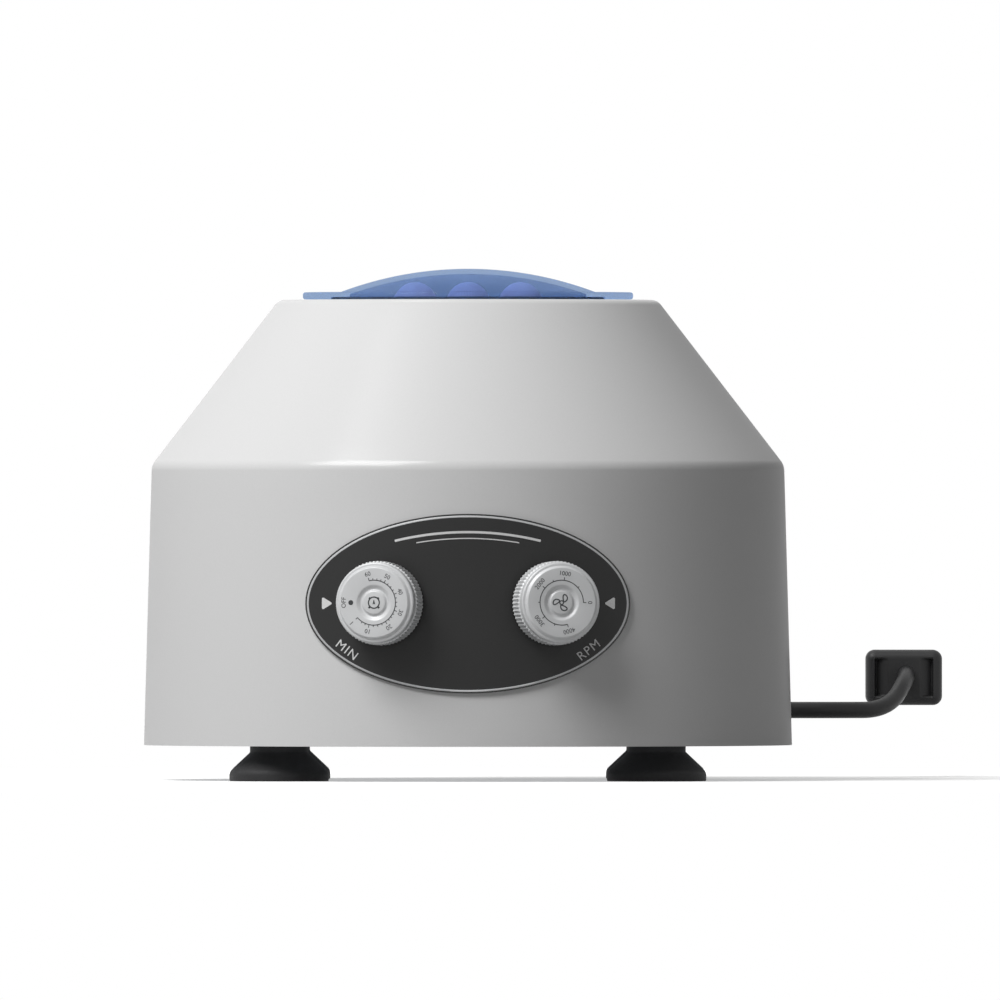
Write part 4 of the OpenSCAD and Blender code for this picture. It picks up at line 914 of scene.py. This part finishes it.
class CENTRIFUGE_OT_rotor(Operator):
    """Capped tubes on their slanted axes: each cap is a dome on a skirt with fine grip ribs"""
    bl_idname = "centrifuge.rotor"
    bl_label = "Rotor and tubes"

    def execute(self, context):
        t = context.scene.cf_rotor
        r = t.cap_d / 2 / MM
        dome = arc((0, 0), r, 90, 0, 20)
        skirt = [[r, -3.0], [r, -12.4], [r - 0.5, -13], [7.65, -13], [7.65, -1.9], [6.4, -1.9], [6.4, -8],
                 [0, -8]]
        section = np.vstack((dome, fill(skirt, 3)))
        ribbed = (section[:, 1] < -2.5) & (section[:, 0] > r - 0.1)
        rib_depth, ribs = 0.3, 48
        points, faces = lathe(section, ribs * 6, False, ribbed, rib_depth, ribs)
        points, faces = self.placed(points * MM, faces)
        # Polypropylene has a waxy sheen and a very even colour
        lilac = moulded("lilac_polypropylene", t.cap, 0.36, 0.6 * MM, 0.02 * MM, 0.04)
        piece("ribbed_caps", points, faces, lilac, "rotor", 40, ("tube_caps",))

        b, length = t.tube_d / 2 / MM, t.tube_l / MM
        wall, floor, flat, mouth = 1, 0.5, 1.5, -2
        section = np.vstack(([[b - wall, mouth]], [[b - wall, b - flat - length]],
                             arc((0, b - wall + floor - length), b - wall, 0, -90, 12)[1:],
                             [[0, -length], [flat, -length]],
                             arc((flat, b - flat - length), b - flat, -90, 0, 12), [[b, mouth]])) * MM
        clear = clear_plastic("clear_polystyrene", linear("#EEF4F6"), 0.06)
        points, faces = self.placed(*lathe(section, 64))
        piece("clear_tubes", points, faces, clear, "rotor", 40, ("sample_tubes",))
        return {"FINISHED"}

    def placed(self, points, faces):
        """Six copies on the rotor: tilted outwards going down, then turned round the axis."""
        t = bpy.context.scene.cf_rotor
        count, drop = 6, 1.7 * MM
        c, s = math.cos(t.tilt), math.sin(t.tilt)
        leaning = np.stack((points[..., 0] * c - points[..., 2] * s + t.top_r, points[..., 1],
                            points[..., 0] * s + points[..., 2] * c + top_height() - drop), -1)
        return stack([(turned(leaning, -90 + 360 / count * i), faces) for i in range(count)])


class CENTRIFUGE_OT_works(Operator):
    """Finishes for the solids that keep their own shape: motor, rotor, controls and fasteners"""
    bl_idname = "centrifuge.works"
    bl_label = "Inner works"

    def execute(self, context):
        # Zinc plate is a dull bluish grey with soft spangles
        zinc = metal("zinc_plated_steel", linear("#B9BCC0"), 0.36, 3 * MM)
        dress(zinc, "base_plate", "motor_plate", "foot_screws", "foot_nuts", "base_screws", "pan_posts",
              "pan_screws", "damper_screws", "motor_screws", "timer_screws", "speed_nut", "board_posts")
        # Ground steel is bright, with fine streaks along the Z axis
        bright = metal("ground_steel", linear("#C6C8CA"), 0.2, 0.5 * MM, (1, 1, 0.05))
        dress(bright, "motor_spindle", "lower_bearing", "upper_bearing", "timer_shaft", "speed_shaft",
              "rotor_nut")
        # Turned aluminium is pale, with rings from the tool
        alloy = turned_metal("turned_aluminium", linear("#C8CACD"), 0.3, 0.9 * MM)
        dress(alloy, "rotor_head", "motor_bell", "heat_sink")
        # Drawn aluminium has long streaks from the die
        drawn = metal("drawn_aluminium", linear("#CDD2D8"), 0.26, 0.5 * MM, (1, 1, 0.08))
        dress(drawn, "tube_sleeves")
        # Enamelled copper is a warm brown, with fine lines across the Z axis
        copper = metal("enamelled_copper", linear("#B4683A"), 0.32, 0.8 * MM, (1, 1, 3))
        dress(copper, "field_windings", "commutator")
        # Turned brass is a warm yellow with a soft shine
        brass = metal("turned_brass", linear("#C9A95A"), 0.3, 0.6 * MM)
        dress(brass, "brush_holders")
        # Varnished laminations are dark, with flat layers one above the other
        iron = metal("varnished_laminations", linear("#55585C"), 0.45, 0.7 * MM, (0.05, 0.05, 1))
        dress(iron, "stator_stack", "armature")
        # Motor enamel is black with a slight orange peel
        enamel = moulded("black_motor_enamel", linear("#25272A"), 0.35, 1.5 * MM, 0.02 * MM)
        dress(enamel, "motor_can")
        # Pressed carbon is matt and nearly black
        carbon = moulded("pressed_carbon", linear("#1C1C1D"), 0.55, 0.4 * MM, 0.02 * MM)
        dress(carbon, "carbon_brushes")
        # Phenolic mouldings are a dark brown with some gloss
        dark = moulded("phenolic_moulding", linear("#3A3431"), 0.4, 0.6 * MM, 0.02 * MM)
        dress(dark, "timer_case", "speed_control", "cooling_fan")
        # Glass fibre board has a green lacquer, and the terminal block is a creamy plastic
        board = moulded("glass_fibre_board", linear("#1F5B34"), 0.3, 0.5 * MM, 0.01 * MM)
        dress(board, "control_board")
        ivory = moulded("ivory_thermoplastic", linear("#DCD6C4"), 0.38, 0.6 * MM, 0.02 * MM)
        dress(ivory, "terminal_block")
        return {"FINISHED"}


class CENTRIFUGE_OT_stage(Operator):
    """Pale paper floor, soft lamps, a white surround and a long camera at the front"""
    bl_idname = "centrifuge.stage"
    bl_label = "Stage"

    def execute(self, context):
        scene = context.scene
        g = scene.cf_stage
        scene.view_settings.view_transform = "Standard"
        self.floor(g)
        self.surround(scene)
        self.lamp("key", (-1.118, -1.043, 1.83), 1.2, g.key)
        self.lamp("rear", (-0.25, 2.6, 0.95), 1.1, 13.0, False)
        self.lamp("window", (-0.3, 0.88, 1.98), 0.32, 3.2)
        camera = bpy.data.cameras.new("camera")
        camera.lens = camera.sensor_width * g.distance / g.view_w
        camera.clip_start = 1.0
        camera.clip_end = 60.0
        holder = bpy.data.objects.new("camera", camera)
        holder.location = (g.centre_x, -g.distance, g.centre_z)
        holder.rotation_euler = (math.pi / 2, 0, 0)
        scene.collection.objects.link(holder)
        scene.camera = holder
        return {"FINISHED"}

    def floor(self, g):
        """A wide flat sheet of matt paper that keeps the shadow. It throws less light back on the object
        than it shows, and where it is seen it fades to plain white further out."""
        reach = 40
        corners = [(-reach, -reach, 0), (reach, -reach, 0), (reach, reach, 0), (-reach, reach, 0)]
        mesh = bpy.data.meshes.new("floor")
        mesh.from_pydata(corners, [], [(0, 1, 2, 3)])
        made, tree, shader, where = blank("paper_floor", Roughness=0.9)
        seen = seen_rays(tree)
        dim = rgba([c * 0.3 for c in g.floor])
        tone = add(tree, "ShaderNodeMixRGB", {"Fac": seen, "Color1": dim, "Color2": rgba(g.floor)})
        tree.links.new(tone.outputs["Color"], shader.inputs["Base Color"])
        away = add(tree, "ShaderNodeVectorMath", {0: where}, operation="LENGTH").outputs["Value"]
        # The glow's share grows with distance, and its strength falls to plain white
        least = 0.1
        fade = add(tree, "ShaderNodeMapRange", {"Value": away, "From Min": 0.25, "From Max": 0.75,
                                                "To Min": least, "To Max": 1.0},
                   interpolation_type="SMOOTHSTEP").outputs["Result"]
        strength = add(tree, "ShaderNodeMapRange", {"Value": fade, "From Min": least, "From Max": 1.0,
                                                    "To Min": 3.6, "To Max": 1.0}).outputs["Result"]
        glow = add(tree, "ShaderNodeEmission", {"Color": (1, 1, 1, 1), "Strength": strength})
        share = add(tree, "ShaderNodeMath", {0: seen, 1: fade}, operation="MULTIPLY")
        both = add(tree, "ShaderNodeMixShader", {0: share.outputs["Value"], 1: shader.outputs["BSDF"],
                                                 2: glow.outputs["Emission"]})
        tree.links.new(both.outputs["Shader"], tree.nodes["Material Output"].inputs["Surface"])
        mesh.materials.append(made)
        sheet = bpy.data.objects.new("floor", mesh)
        bpy.context.scene.collection.objects.link(sheet)

    def surround(self, scene):
        """White where it is seen, mirrored or looked through; a low grey where it lights the object."""
        world = bpy.data.worlds.new("surround")
        scene.world = world
        world.use_nodes = True
        tree = world.node_tree
        back = tree.nodes["Background"]
        level = add(tree, "ShaderNodeMapRange", {"Value": seen_rays(tree), "To Min": 0.09, "To Max": 1.0})
        back.inputs["Color"].default_value = (1, 1, 1, 1)
        tree.links.new(level.outputs["Result"], back.inputs["Strength"])

    def lamp(self, name, place, width, power, mirrored=True):
        """A square soft lamp that looks at the middle of the object, and may be left out of reflections."""
        data = bpy.data.lights.new(name, "AREA")
        data.size = width
        data.energy = power
        holder = bpy.data.objects.new(name, data)
        aim = np.array([0, 0, 0.1]) - np.array(place)
        aim /= np.linalg.norm(aim)
        holder.location = place
        holder.rotation_euler = (math.acos(-aim[2]), 0, math.atan2(-aim[0], aim[1]))
        holder.visible_glossy = mirrored
        bpy.context.scene.collection.objects.link(holder)


class CENTRIFUGE_PT_sidebar(Panel):
    """Lists the pieces in the sidebar of the 3D view"""
    bl_idname = "CENTRIFUGE_PT_sidebar"
    bl_label = "Centrifuge"
    bl_space_type = "VIEW_3D"
    bl_region_type = "UI"
    bl_category = "Centrifuge"

    def draw(self, context):
        for maker in MAKERS:
            self.layout.operator(maker.bl_idname)
        for name in GROUPS:
            group = getattr(context.scene, name)
            box = self.layout.box()
            for key in group.__annotations__:
                box.prop(group, key)


MAKERS = (CENTRIFUGE_OT_stage, CENTRIFUGE_OT_lead, CENTRIFUGE_OT_housing, CENTRIFUGE_OT_feet,
          CENTRIFUGE_OT_lid, CENTRIFUGE_OT_panel, CENTRIFUGE_OT_knobs, CENTRIFUGE_OT_rotor,
          CENTRIFUGE_OT_works)
CLASSES = (*GROUPS.values(), *MAKERS, CENTRIFUGE_PT_sidebar)


def register():
    """Registers the classes and hangs the groups of sizes on the scene."""
    for item in CLASSES:
        bpy.utils.register_class(item)
    for name, group in GROUPS.items():
        setattr(bpy.types.Scene, name, PointerProperty(type=group))


def unregister():
    """Takes back what register did."""
    for name in GROUPS:
        delattr(bpy.types.Scene, name)
    for item in reversed(CLASSES):
        bpy.utils.unregister_class(item)


def main():
    """Makes every piece in order."""
    register()
    for maker in MAKERS:
        group, name = maker.bl_idname.split(".")
        getattr(getattr(bpy.ops, group), name)()


if __name__ == "__main__":
    main()
